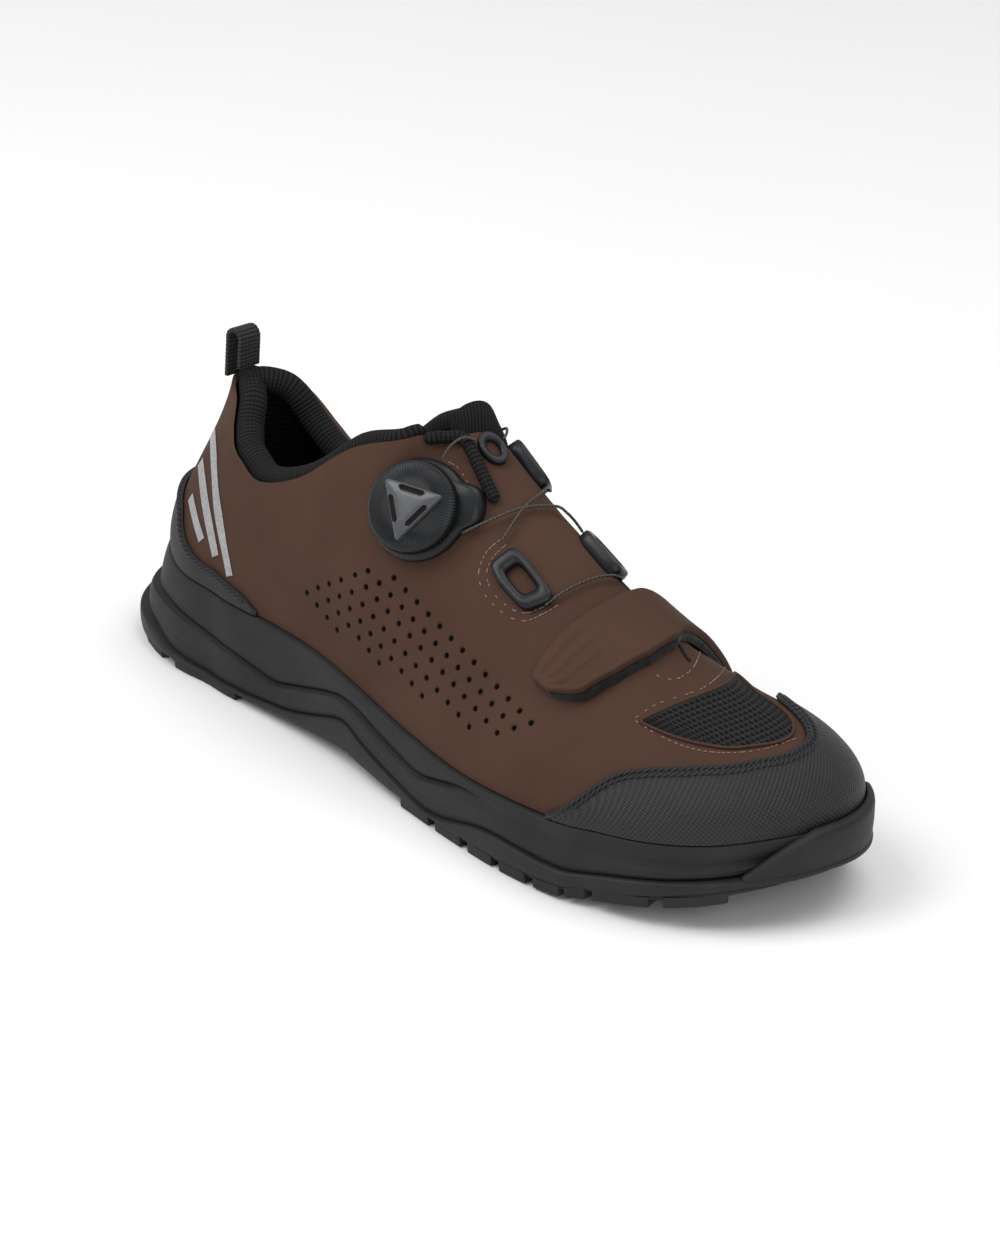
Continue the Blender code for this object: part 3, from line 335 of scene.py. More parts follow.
def quads(n, m, wrap=False):
    i, j = np.meshgrid(np.arange(n if wrap else n - 1), np.arange(m - 1), indexing="ij")
    k = (i + 1) % n
    faces = np.stack([i * m + j, k * m + j, k * m + j + 1, i * m + j + 1], -1).reshape(-1, 4)
    corners = np.stack([i * m + j, (i + 1) * m + j, (i + 1) * m + j + 1, i * m + j + 1], -1).reshape(-1, 4)
    return faces, corners

# %% [markdown]
# ## Bodies
# Grids and lists of faces become objects here. Every mesh is smooth except at its sharp edges. There are
# three kinds of body: a sheet with a rim, loops round the whole shoe, and loops round a line, as in a bar.
# %% Bodies
def linked(name, data):
    """A new object in the scene."""
    obj = bpy.data.objects.new(name, data)
    bpy.context.scene.collection.objects.link(obj)
    return obj


def smooth_object(name, mesh):
    """A new object with smooth faces, and with sharp edges where they turn by more than SHARP."""
    mesh.shade_smooth()
    mesh.set_sharp_from_angle(angle=SHARP)
    return linked(name, mesh)


def mend(mesh, weld=0.0, turn=True):
    """Welds points that lie together and turns the faces outwards. Says how many edges stay open."""
    bm = bmesh.new()
    bm.from_mesh(mesh)
    if weld:
        bmesh.ops.remove_doubles(bm, verts=bm.verts, dist=weld)
    if turn:
        bmesh.ops.recalc_face_normals(bm, faces=bm.faces)
    open_edges = sum(not edge.is_manifold for edge in bm.edges)
    bm.to_mesh(mesh)
    bm.free()
    return open_edges


def build(name, points, faces, uv, materials, kinds=None, recalc=False):
    """A smooth mesh object. uv has a place for each corner of each face, and kinds each face's material."""
    mesh = bpy.data.meshes.new(name)
    mesh.from_pydata(np.asarray(points).tolist(), [], [list(map(int, f)) for f in faces])
    layer = mesh.uv_layers.new(name="mm")
    layer.data.foreach_set("uv", np.asarray(uv, np.float32).ravel())
    for material in materials:
        mesh.materials.append(material)
    if kinds is not None:
        mesh.polygons.foreach_set("material_index", np.asarray(kinds, np.int32))
    if recalc:
        mend(mesh)
    return smooth_object(name, mesh)


def shell(name, outer, inner, materials, wrap=False, rim_top=None):
    """A closed sheet between two grids. Materials are for its outside, its inside and its edges."""
    n, m = outer.shape[:2]
    flat = mm_uv(outer, wrap)
    faces, corners = quads(n, m, wrap)
    number = np.arange(n * m).reshape(n, m)
    after = np.roll(number, -1, axis=0) if wrap else number[1:]
    here = number if wrap else number[:-1]
    keep = np.ones(len(here), bool) if rim_top is None else rim_top
    borders = [(after[:, 0], here[:, 0]), (here[keep, -1], after[keep, -1])]
    if not wrap:
        borders += [(number[0, :-1], number[0, 1:]), (number[-1, 1:], number[-1, :-1])]
    first = np.concatenate([b[0] for b in borders])
    second = np.concatenate([b[1] for b in borders])
    rims = np.stack([first, second, second + n * m, first + n * m], -1)
    all_faces = np.concatenate([faces, faces[:, ::-1] + n * m, rims])
    rim_uv = flat[np.stack([first, second, second, first], -1)]
    all_uv = np.concatenate([flat[corners], flat[corners[:, ::-1]], rim_uv])
    kinds = np.repeat([0, 1, 2], [len(faces), len(faces), len(rims)])
    materials = list(materials) if isinstance(materials, (list, tuple)) else [materials]
    materials += [materials[-1]] * (3 - len(materials))
    return build(name, np.concatenate([outer.reshape(-1, 3), inner.reshape(-1, 3)]), all_faces, all_uv,
                 materials, kinds)


def loft(name, rings, material):
    """Joins loops round the shoe and closes the first and the last across it."""
    grid = np.stack(rings, 1)
    n, m = grid.shape[:2]
    faces, corners = quads(n, m, True)
    flat = mm_uv(grid, True)
    number = np.arange(n * m).reshape(n, m)
    caps, half = [], n // 2
    for j in (0, m - 1):
        caps.append((number[0, j], number[1, j], number[-1, j]))
        caps += [(number[i, j], number[i + 1, j], number[n - i - 1, j], number[n - i, j])
                 for i in range(1, half - 1)]
        caps.append((number[half - 1, j], number[half, j], number[half + 1, j]))
    points = grid.reshape(-1, 3)
    cap_uv = [points[list(cap), :2] * 1000 for cap in caps]
    uv = np.concatenate([flat[corners].reshape(-1, 2)] + cap_uv)
    return build(name, points, list(faces) + caps, uv, [material], recalc=True)


def capped(name, grid, uv, material):
    """A closed body from loops round a line, with a face over the first and the last one."""
    n, m = grid.shape[:2]
    faces, corners = quads(n, m, True)
    number = np.arange(n * m).reshape(n, m)
    ends = [list(number[:, 0]), list(number[:, -1])]
    corner_uv = np.concatenate([uv[corners].reshape(-1, 2), np.zeros((2 * n, 2))])
    return build(name, grid.reshape(-1, 3), list(faces) + ends, corner_uv, [material], recalc=True)


def frames_along(path):
    """Two directions across a path at each of its points, without twist."""
    forward = unit(np.gradient(path, axis=0))
    side = np.zeros_like(path)
    start = np.array([0.0, 0, 1]) if abs(forward[0][2]) < 0.9 else np.array([1.0, 0, 0])
    side[0] = unit(start - forward[0] * (start @ forward[0]))
    for k in range(1, len(path)):
        side[k] = unit(side[k - 1] - forward[k] * (side[k - 1] @ forward[k]))
    return side, np.cross(forward, side)


def bar(name, path, radius, material, sides=12, round_ends=True):
    """A round bar along a path, with rounded ends."""
    side, other = frames_along(path)
    run = run_along(path[:, None], 0)[:, 0]
    radius = np.broadcast_to(np.asarray(radius, float), run.shape).copy()
    if round_ends:
        close = np.clip(np.minimum(run, run[-1] - run) / radius, 0, 1)
        radius *= np.sqrt(np.maximum(1 - (1 - close) ** 2, 0.02))
    angle = turns(sides)[:, None, None]
    grid = path + radius[:, None] * (np.cos(angle) * side + np.sin(angle) * other)
    turn = np.linspace(0, 2 * np.pi, sides + 1)[:, None] * np.mean(radius) * 1000
    uv = np.stack(np.broadcast_arrays(turn, run * 1000), -1).reshape(-1, 2)
    return capped(name, grid, uv, material)


def with_ends(path, radius):
    """A path with extra points near its ends, for rounded ends."""
    run = run_along(path[:, None], 0)[:, 0]
    near = np.array([0, 0.08, 0.3, 0.65, 1.0]) * radius
    at = np.unique(np.concatenate([near, run[-1] - near, run[1:-1]]))
    return np.stack([np.interp(at, run, path[:, k]) for k in range(3)], -1)

def hand_over(obj, slot, *nodes):
    """The finished piece moves with the shoe, and stands for these CAD nodes."""
    obj.name = obj.name.split(".")[0].replace(" ", "_") + "_skin"
    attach(obj, "root")
    if nodes:
        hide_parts(*nodes)
    faces = sum(len(p.vertices) - 2 for p in obj.data.polygons)
    size = [round(1000 * d, 1) for d in obj.dimensions]
    print(f"{obj.name}: {faces} triangles, {size} mm", "for " + ", ".join(nodes) if nodes else "")


# %% [markdown]
# ## Materials
# The shoe is made of few materials: brown microfibre, woven and knitted black textiles, foam, rubber, hard
# plastic and a coated cable. Each is mixed from noise or from a woven pattern, in the piece's own places, so
# no picture is needed. A small helper writes the nodes, and bump gives the grain that the meshes leave out.
# In the woven, ribbed and twisted finishes the colour follows the relief, as painted shade in the hollows and
# painted highlight on the raised threads.
# %% Materials
class Finish:
    """A material whose nodes are written as short calls."""

    def __init__(self, name, roughness, specular=0.4):
        self.material = bpy.data.materials.new(name)
        self.material.use_nodes = True
        self.tree = self.material.node_tree
        self.shader = self.tree.nodes["Principled BSDF"]
        self.shader.inputs["Roughness"].default_value = roughness
        self.shader.inputs["Specular IOR Level"].default_value = specular
        places = self.tree.nodes.new("ShaderNodeTexCoord")
        self.object, self.uv = places.outputs["Object"], places.outputs["UV"]

    def put(self, socket, value):
        if isinstance(value, bpy.types.NodeSocket):
            self.tree.links.new(value, socket)
        else:
            socket.default_value = value

    def math(self, operation, a, b=0.0):
        node = self.tree.nodes.new("ShaderNodeMath")
        node.operation = operation
        self.put(node.inputs[0], a)
        self.put(node.inputs[1], b)
        return node.outputs[0]

    def noise(self, scale, detail=2.0):
        node = self.tree.nodes.new("ShaderNodeTexNoise")
        self.put(node.inputs["Vector"], self.object)
        node.inputs["Scale"].default_value = scale
        node.inputs["Detail"].default_value = detail
        return node.outputs["Fac"]

    def along(self, axis, pitch):
        """How far a point lies along U or V, where one pitch of millimetres is a full turn."""
        parts = self.tree.nodes.new("ShaderNodeSeparateXYZ")
        self.put(parts.inputs[0], self.uv)
        return self.math("MULTIPLY", parts.outputs[axis], 2 * math.pi / pitch)

    def wave(self, pitch, axis):
        """Goes up and down once in a pitch of millimetres along U or V."""
        return self.math("SINE", self.along(axis, pitch))

    def slant(self, pitch, lean):
        """The same along a slanted direction."""
        both = self.along(0, pitch / math.cos(lean)), self.along(1, pitch / math.sin(lean))
        return self.math("SINE", self.math("ADD", *both))

    def colour(self, factor, dark, light, low=0.3, high=0.7):
        node = self.tree.nodes.new("ShaderNodeValToRGB")
        node.color_ramp.elements[0].position, node.color_ramp.elements[1].position = low, high
        node.color_ramp.elements[0].color = (*dark, 1)
        node.color_ramp.elements[1].color = (*light, 1)
        self.put(node.inputs[0], factor)
        self.put(self.shader.inputs["Base Color"], node.outputs[0])

    def bump(self, *layers):
        """Layers of (height, depth in metres), one over the other."""
        last_normal = None
        for height, depth in layers:
            node = self.tree.nodes.new("ShaderNodeBump")
            node.inputs["Strength"].default_value = 1.0
            node.inputs["Distance"].default_value = depth
            self.put(node.inputs["Height"], height)
            if last_normal is not None:
                self.put(node.inputs["Normal"], last_normal)
            last_normal = node.outputs[0]
        self.put(self.shader.inputs["Normal"], last_normal)


def shade(name, dark, light, roughness, grain, depth, blotch=30, specular=0.4, sheen=0.0, coat=0.0):
    """A plain material with soft blotches of colour and a fine grain."""
    f = Finish(name, roughness, specular)
    f.colour(f.noise(blotch, 3.0), dark, light)
    f.bump((f.noise(grain, 2.0), depth), (f.noise(grain / 6, 2.0), 2 * depth))
    f.shader.inputs["Sheen Weight"].default_value = sheen
    f.shader.inputs["Coat Weight"].default_value = coat
    rough = f.math("MULTIPLY_ADD", f.noise(blotch * 4, 2.0), 0.16)
    rough.node.inputs[2].default_value = roughness - 0.08
    f.put(f.shader.inputs["Roughness"], rough)
    return f


def weave(name, dark, light, pitch_u, pitch_v, roughness, depth):
    """Dots of crossing threads, in the sheet's own directions. The colour follows the dots' height: painted
    highlight on the crossings and painted shade between them.
    """
    f = Finish(name, roughness, 0.35)
    dots = f.math("MULTIPLY", f.wave(pitch_u, 0), f.wave(pitch_v, 1))
    height = f.math("ADD", f.math("MULTIPLY", dots, 0.5), 0.5)
    f.colour(height, dark, light, 0.2, 0.9)
    f.bump((height, depth), (f.noise(2600), depth / 4))
    return f


def ribs(name, dark, light, pitch, axis, roughness, depth, specular=0.3):
    """Raised ribs along one direction of the sheet, with a fine knit between them. The colour follows their
    height: painted shade between the ribs and painted highlight on their crests.
    """
    f = Finish(name, roughness, specular)
    height = f.math("ADD", f.math("MULTIPLY", f.wave(pitch, axis), 0.5), 0.5)
    loops = f.math("MULTIPLY", f.wave(pitch * 0.9, 1 - axis), 0.18)
    height = f.math("ADD", height, loops)
    f.colour(height, dark, light, 0.0, 1.1)
    f.bump((height, depth), (f.noise(3000), depth / 4))
    return f

# %% [markdown]
# ## Finishes
# The blacks of the shoe differ in gloss more than in colour. Rubber, foam and plastic shine a little, and the
# knit and the lining hardly at all.
# %% Finishes
brown = shade("brown microfibre", (0.053, 0.0275, 0.0185), (0.068, 0.035, 0.0235), 0.70, 2600, 0.00005,
              blotch=28, specular=0.11)
cut_edge = shade("brown cut edge", (0.055, 0.026, 0.016), (0.080, 0.037, 0.022), 0.75, 2200, 0.00005)
rubber = shade("black rubber", (0.010, 0.010, 0.010), (0.018, 0.018, 0.018), 0.58, 1500, 0.00006, blotch=60,
               specular=0.28)
foam = shade("black foam", (0.012, 0.012, 0.012), (0.019, 0.019, 0.019), 0.62, 2200, 0.00006, blotch=45,
             specular=0.25)
plastic = shade("black plastic", (0.005, 0.006, 0.007), (0.010, 0.011, 0.013), 0.36, 1800, 0.00002, coat=0.04,
                specular=0.27)
# Painted shade: a near-black, matte colour for the perforations, the knob's slots and the patch's slit, over
# the black lining and pad beneath them.
painted_recess_shade = shade("dark recess", (0.004, 0.004, 0.004), (0.008, 0.007, 0.006), 0.95, 1500, 0.00003)
# The toe cap's weave: its light dots are painted highlights on the thread crossings, its dark ground painted
# shade.
woven = weave("woven overlay", (0.004, 0.004, 0.004), (0.021, 0.021, 0.022), 1.7, 1.7, 0.50, 0.00025)
# Ribbed finishes (counter, knit, lining, webbing, thread): painted shade between the ribs, painted highlight
# on them.
counter_cloth = ribs("ribbed overlay", (0.006, 0.006, 0.006), (0.024, 0.024, 0.025), 0.9, 0, 0.6, 0.00010)
knit = ribs("black knit", (0.004, 0.004, 0.004), (0.017, 0.017, 0.018), 1.5, 1, 0.92, 0.00022, 0.15)
lining = ribs("black lining", (0.006, 0.006, 0.007), (0.018, 0.018, 0.019), 2.4, 1, 0.95, 0.00025, 0.12)
pad_cloth = shade("brushed pad", (0.008, 0.008, 0.008), (0.020, 0.019, 0.019), 0.97, 2400, 0.00025,
                  blotch=400, specular=0.1, sheen=0.1)
webbing = ribs("ribbed webbing", (0.005, 0.005, 0.005), (0.030, 0.030, 0.031), 1.5, 0, 0.8, 0.00025)
tan_thread = ribs("tan thread", (0.13, 0.080, 0.060), (0.25, 0.165, 0.125), 0.4, 0, 0.8, 0.00003)
# Painted highlight: the knob's top is a lighter grey than the black plastic, for the light that it catches.
satin_painted_highlight = shade("satin plastic", (0.058, 0.060, 0.066), (0.074, 0.076, 0.082), 0.33, 1800, 0.00002, coat=0.08)

# The cord's colour follows its twist: painted shade in the grooves, painted highlight on the strands.
cord = Finish("twisted cord", 0.6, 0.3)
twist = cord.slant(1.5, 0.75)
cord.colour(cord.math("MULTIPLY_ADD", twist, 0.5), (0.004, 0.004, 0.005), (0.026, 0.026, 0.029), 0.1, 0.9)
cord.bump((twist, 0.0002))

# The cable's colour follows its strands: painted shade between them, painted highlight on them.
cable = Finish("coated cable", 0.42, 0.5)
strands = cable.slant(0.9, 0.6)
cable.colour(cable.math("MULTIPLY_ADD", strands, 0.5), (0.014, 0.013, 0.009), (0.044, 0.040, 0.027), 0.0, 0.6)
cable.bump((strands, 0.00008))

# The braided mesh is near-black in its holes and dark grey on its threads: partly the dark backing under the
# holes, partly painted shade in them.
mesh_cloth = Finish("braided mesh", 0.75, 0.15)
left, right = mesh_cloth.slant(3.1, 0.80), mesh_cloth.slant(3.1, -0.80)
braid = mesh_cloth.math("MULTIPLY", left, right)
mesh_cloth.colour(braid, (0.021, 0.021, 0.022), (0.001, 0.001, 0.001), 0.0, 0.35)
mesh_cloth.bump((mesh_cloth.math("SUBTRACT", 1.0, braid), 0.0005), (mesh_cloth.noise(3000), 0.00004))

reflective = shade("grey reflective film", (0.21, 0.21, 0.215), (0.33, 0.33, 0.335), 0.38, 3200, 0.00003,
                   blotch=900, specular=0.6)
print("materials:", len(bpy.data.materials))

# %% [markdown]
# ## Copies by Geometry Nodes
# Stitches, perforations and the grip of the dial are the same small shape many times over. A node tree sets
# one copy on each point of a carrier mesh, turned by two directions stored on the points, with a small
# spread of size from a fixed seed. The result is turned into a plain mesh.
# %% Copies
def copies_tree():
    tree = bpy.data.node_groups.new("copies on points", "GeometryNodeTree")
    sockets = {}
    for name, kind in (("Geometry", "Geometry"), ("Shape", "Object"), ("Spread", "Float"), ("Seed", "Int"),
                       ("Finish", "Material")):
        sockets[name] = tree.interface.new_socket(name, in_out="INPUT", socket_type=f"NodeSocket{kind}")
    tree.interface.new_socket("Geometry", in_out="OUTPUT", socket_type="NodeSocketGeometry")
    nodes, link = tree.nodes, tree.links.new
    start, end = nodes.new("NodeGroupInput"), nodes.new("NodeGroupOutput")
    turn = None
    for axis, pivot, name in (("Z", "AUTO", "facing"), ("X", "Z", "heading")):
        attribute = nodes.new("GeometryNodeInputNamedAttribute")
        attribute.data_type = "FLOAT_VECTOR"
        attribute.inputs["Name"].default_value = name
        align = nodes.new("FunctionNodeAlignRotationToVector")
        align.axis, align.pivot_axis = axis, pivot
        link(attribute.outputs["Attribute"], align.inputs["Vector"])
        if turn is not None:
            link(turn, align.inputs["Rotation"])
        turn = align.outputs[0]
    info = nodes.new("GeometryNodeObjectInfo")
    link(start.outputs["Shape"], info.inputs["Object"])
    size = nodes.new("FunctionNodeRandomValue")
    link(start.outputs["Seed"], size.inputs["Seed"])
    least, most = nodes.new("ShaderNodeMath"), nodes.new("ShaderNodeMath")
    least.operation, most.operation = "SUBTRACT", "ADD"
    for node, to in ((least, 2), (most, 3)):
        node.inputs[0].default_value = 1.0
        link(start.outputs["Spread"], node.inputs[1])
        link(node.outputs[0], size.inputs[to])
    place = nodes.new("GeometryNodeInstanceOnPoints")
    link(start.outputs["Geometry"], place.inputs["Points"])
    link(info.outputs["Geometry"], place.inputs["Instance"])
    link(turn, place.inputs["Rotation"])
    link(size.outputs[1], place.inputs["Scale"])
    real, paint = nodes.new("GeometryNodeRealizeInstances"), nodes.new("GeometryNodeSetMaterial")
    link(place.outputs[0], real.inputs[0])
    link(real.outputs[0], paint.inputs["Geometry"])
    link(start.outputs["Finish"], paint.inputs["Material"])
    link(paint.outputs[0], end.inputs[0])
    return tree, {name: socket.identifier for name, socket in sockets.items()}


COPIES, COPIES_INPUTS = copies_tree()


def copies(name, points, faces_to, heads_to, shape, material, spread=0.0, seed=7):
    """A plain mesh of copies of shape on points."""
    carrier_mesh = bpy.data.meshes.new(name + " points")
    carrier_mesh.from_pydata(np.asarray(points).tolist(), [], [])
    for label, values in (("facing", faces_to), ("heading", heads_to)):
        attribute = carrier_mesh.attributes.new(label, "FLOAT_VECTOR", "POINT")
        attribute.data.foreach_set("vector", np.asarray(values, np.float32).ravel())
    carrier = linked(name + " points", carrier_mesh)
    modifier = carrier.modifiers.new("copies", "NODES")
    modifier.node_group = COPIES
    for label, value in (("Shape", shape), ("Spread", spread), ("Seed", seed), ("Finish", material)):
        modifier[COPIES_INPUTS[label]] = value
    graph = bpy.context.evaluated_depsgraph_get()
    mesh = bpy.data.meshes.new_from_object(carrier.evaluated_get(graph))
    bpy.data.objects.remove(carrier, do_unlink=True)
    mesh.name = name
    if not mesh.materials:
        mesh.materials.append(material)
    return linked(name, mesh)

# %% [markdown]
# ## Stitches
# A stitch is one short rounded bar. Copies of it are set along a line at even distances, and they turn with
# the line and with the surface under it.
# %% Stitches
STITCH_LENGTH, STITCH_GAP, STITCH_SPREAD, THREAD_RADIUS = 0.0012, 0.0007, 0.06, 0.00021


def stitch_shape(material):
    path = np.linspace(-0.5, 0.5, 5)[:, None] * np.array([STITCH_LENGTH, 0, 0])
    return bar("one stitch", with_ends(path, THREAD_RADIUS), THREAD_RADIUS, material, sides=6)


def stitches(name, lines, material):
    """Stitches along lines of (places, ways the surface faces)."""
    points, ways, heads = [], [], []
    for path, faces in lines:
        length = run_along(path[:, None], 0)[-1, 0]
        count = max(int(round(length / (STITCH_LENGTH + STITCH_GAP))), 2)
        line = even_path(np.concatenate([path, faces], 1), count)
        points.append(line[:, :3])
        ways.append(unit(line[:, 3:]))
        heads.append(unit(np.gradient(line[:, :3], axis=0)))
    shape = stitch_shape(material)
    parts = (np.concatenate(part) for part in (points, ways, heads))
    obj = copies(name, *parts, shape, material, STITCH_SPREAD)
    bpy.data.objects.remove(shape, do_unlink=True)
    return obj


print("copies tree nodes:", len(COPIES.nodes))

# %% [markdown]
# ## Upper
# One moulded microfibre wall, lasted over the form and cemented into the sole. The grid runs from the foot
# line up to the collar or to the throat's edge, which is found where the wall meets the throat's outline in
# plan. In front of the throat both halves meet in one seam. Folds are listed one by one: soft troughs and
# ridges along short lines, where the shoe bends at the ball and where the collar has slackened.
# %% Upper
# along as a share of LAST_LENGTH, outer and inner edge as shares of BALL_WIDTH
THROAT = np.array([
    (0.400, -0.245, 0.225), (0.428, -0.170, 0.215), (0.443, -0.095, 0.205), (0.463, -0.020, 0.190),
    (0.490, 0.032, 0.170), (0.530, 0.062, 0.140), (0.600, 0.075, 0.112), (0.680, 0.080, 0.104),
    (0.735, 0.084, 0.098),
])
SEAM_END = 0.79  # where the seam in front of the throat reaches the ridge
COLUMNS, UPPER_ROWS = 640, 58
RIM_THINNER, WELD = 0.0008, 1e-6


def throat_edges(t):
    """Top edge of both halves at sections t, and where they are sewn together."""
    across = np.linspace(0.4, 1.6, 481)
    y = np.maximum.accumulate(last(t[:, None], across[None])[..., 1], axis=1)
    share = sizes_at(t).pivot_x / LAST_LENGTH
    straight = sizes_at(t).turn > 89
    seam = np.interp(share, (THROAT[-1, 0], SEAM_END), (np.mean(THROAT[-1, 1:]), 0.03))
    tops = []
    for column in (1, 2):
        edge = np.interp(share, THROAT[:, 0], THROAT[:, column])
        edge = np.where(share > THROAT[-1, 0], seam, edge) * BALL_WIDTH + MIDDLE[1]
        top = np.array([np.interp(e, row, across) for e, row in zip(edge, y)])
        top = np.where((share > THROAT[0, 0]) & (share < SEAM_END) & straight, top, 1.0)
        tops.append(np.where(t < HALF_WAY, np.minimum(top, 1) if column == 1 else np.maximum(top, 1), top))
    closed = (share > THROAT[-1, 0]) | ~straight & (t > HALF_WAY)
    middle = 0.5 * (tops[0] + tops[1])
    return np.where(closed, middle, tops[0]), np.where(closed, middle, tops[1]), closed

# %% Folds
# places (a, up), how deep (a ridge is negative), and how wide, in millimetres
FOLDS = (
    (((9.2, 0.20), (9.9, 0.34), (10.4, 0.40)), 0.7, 5.0),
    (((11.1, 0.30), (11.35, 0.55), (11.45, 0.72)), 0.8, 4.5),
    (((11.7, 0.32), (11.85, 0.52), (11.95, 0.70)), 0.5, 3.5),
    (((12.0, 0.90), (12.15, 1.0), (12.1, 1.12)), 0.6, 4.0),
    (((12.35, 0.88), (12.5, 1.0), (12.45, 1.1)), -0.4, 3.5),
    (((21.0, 0.35), (20.7, 0.55), (20.55, 0.75)), 0.8, 4.5),
    (((4.2, 0.45), (4.9, 0.62), (5.4, 0.80)), 0.6, 5.0),
    (((5.4, 0.50), (5.9, 0.62), (6.6, 0.70)), -0.4, 5.0),
    (((1.2, 0.55), (2.2, 0.62), (3.3, 0.55)), 0.6, 5.0),
    (((1.6, 0.80), (2.4, 0.84), (3.0, 0.80)), 0.4, 4.0),
    (((8.5, 0.35), (8.9, 0.42), (9.3, 0.40)), -0.4, 4.5),
    (((10.9, 0.10), (11.6, 0.16), (12.2, 0.14)), 0.5, 4.0),
)


def fold_depth(points):
    depth = np.zeros(points.shape[:-1])
    for places, deep, wide in FOLDS:
        line = smooth_path(places, 24)
        line = last(line[:, 0], line[:, 1])
        taper = np.sin(np.linspace(0.15, np.pi - 0.15, 24))
        nearest = np.full(points.shape[:-1], 1e9)
        strength = np.zeros(points.shape[:-1])
        for p, s in zip(line, taper):
            away = np.linalg.norm(points - p, axis=-1)
            strength = np.where(away < nearest, s, strength)
            nearest = np.minimum(nearest, away)
        depth += deep * MM * strength * np.exp(-((nearest / (wide * MM)) ** 2))
    return depth

# %% Wall of the upper
column_a = np.arange(COLUMNS) * ROUND / COLUMNS
half_t = column_a[: COLUMNS // 2 + 1]
top_outer, top_inner, closed = throat_edges(half_t)
top = np.concatenate([top_outer, (2 - top_inner)[-2:0:-1]])
is_closed = np.concatenate([closed, closed[-2:0:-1]])
share_up = np.unique(np.concatenate([np.linspace(0, 1, UPPER_ROWS), [0.004, 0.992, 0.996]]))
grid_a = np.repeat(column_a[:, None], len(share_up), axis=1)
grid_up = share_up[None] * top[:, None]
upper_outer = skin(grid_a, grid_up)
upper_outer = upper_outer - facing(grid_a, grid_up) * fold_depth(upper_outer)[..., None]
thin = WALL - RIM_THINNER * np.clip((share_up - 0.9) / 0.1, 0, 1)
upper_inner = skin(grid_a, grid_up, -thin[None] * np.ones_like(grid_a))
mirrored = (-np.arange(COLUMNS)) % COLUMNS
for grid in (upper_outer, upper_inner):
    middle = 0.5 * (grid[:, -1] + grid[mirrored, -1])
    grid[is_closed, -1] = middle[is_closed]
rim_columns = ~(is_closed & np.roll(is_closed, -1))
upper = shell("upper", upper_outer, upper_inner, [brown.material, lining.material, cut_edge.material],
              wrap=True, rim_top=rim_columns)
open_edges = mend(upper.data, WELD, turn=False)
print("upper:", len(upper.data.vertices), "vertices, edges not closed:", open_edges)

upper_tree = BVHTree.FromPolygons(upper_outer.reshape(-1, 3).tolist(),
                                  quads(COLUMNS, len(share_up), True)[0].tolist())

# %% [markdown]
# ## Perforations
# Seven slanted rows of round holes let air in on the outer side. They are punched before lasting, so they
# follow the wall. Here a Boolean cuts blind holes, and their walls and floors take the cutter's near-black
# material: painted shade for the hole's depth, over the black lining that shows through it.
# %% Perforations
HOLE_RADIUS, HOLE_DEPTH = 0.0010, 0.0014
# first and last hole of each row in the picture, and how many holes it has
HOLE_ROWS = (
    ((307, 593), (337, 630), 4), ((318, 588), (379, 663), 7), ((329, 584), (422, 696), 10),
    ((341, 580), (469, 727), 13), ((355, 575), (497, 733), 14), ((368, 571), (514, 728), 14),
    ((394, 578), (531, 723), 13),
)


def punch():
    path = np.array([[0, 0, -HOLE_DEPTH], [0, 0, 0], [0, 0, 0.002]])
    shape = bar("one punch", path, HOLE_RADIUS, painted_recess_shade.material, sides=14, round_ends=False)
    rows = [np.linspace(first, second, count) for first, second, count in HOLE_ROWS]
    places, ways = seen(np.concatenate(rows), upper_tree)
    heads = np.tile([1.0, 0, 0], (len(places), 1))
    cutters = copies("punches", places, ways, heads, shape, painted_recess_shade.material)
    bpy.data.objects.remove(shape, do_unlink=True)
    return cutters, len(places)


def carve(obj, cutter):
    """Cuts one mesh with another for good, and keeps the cutter's material on the cut."""
    modifier = obj.modifiers.new("cut", "BOOLEAN")
    modifier.operation, modifier.object, modifier.solver = "DIFFERENCE", cutter, "MANIFOLD"
    modifier.material_mode = "TRANSFER"
    graph = bpy.context.evaluated_depsgraph_get()
    mesh = bpy.data.meshes.new_from_object(obj.evaluated_get(graph))
    obj.modifiers.clear()
    old, obj.data = obj.data, mesh
    bpy.data.meshes.remove(old)
    bpy.data.objects.remove(cutter, do_unlink=True)


punches, hole_count = punch()
faces_before = len(upper.data.polygons)
carve(upper, punches)
print("perforations:", hole_count, "faces", faces_before, "->", len(upper.data.polygons))
hand_over(upper, "brown_microfibre", "upper")

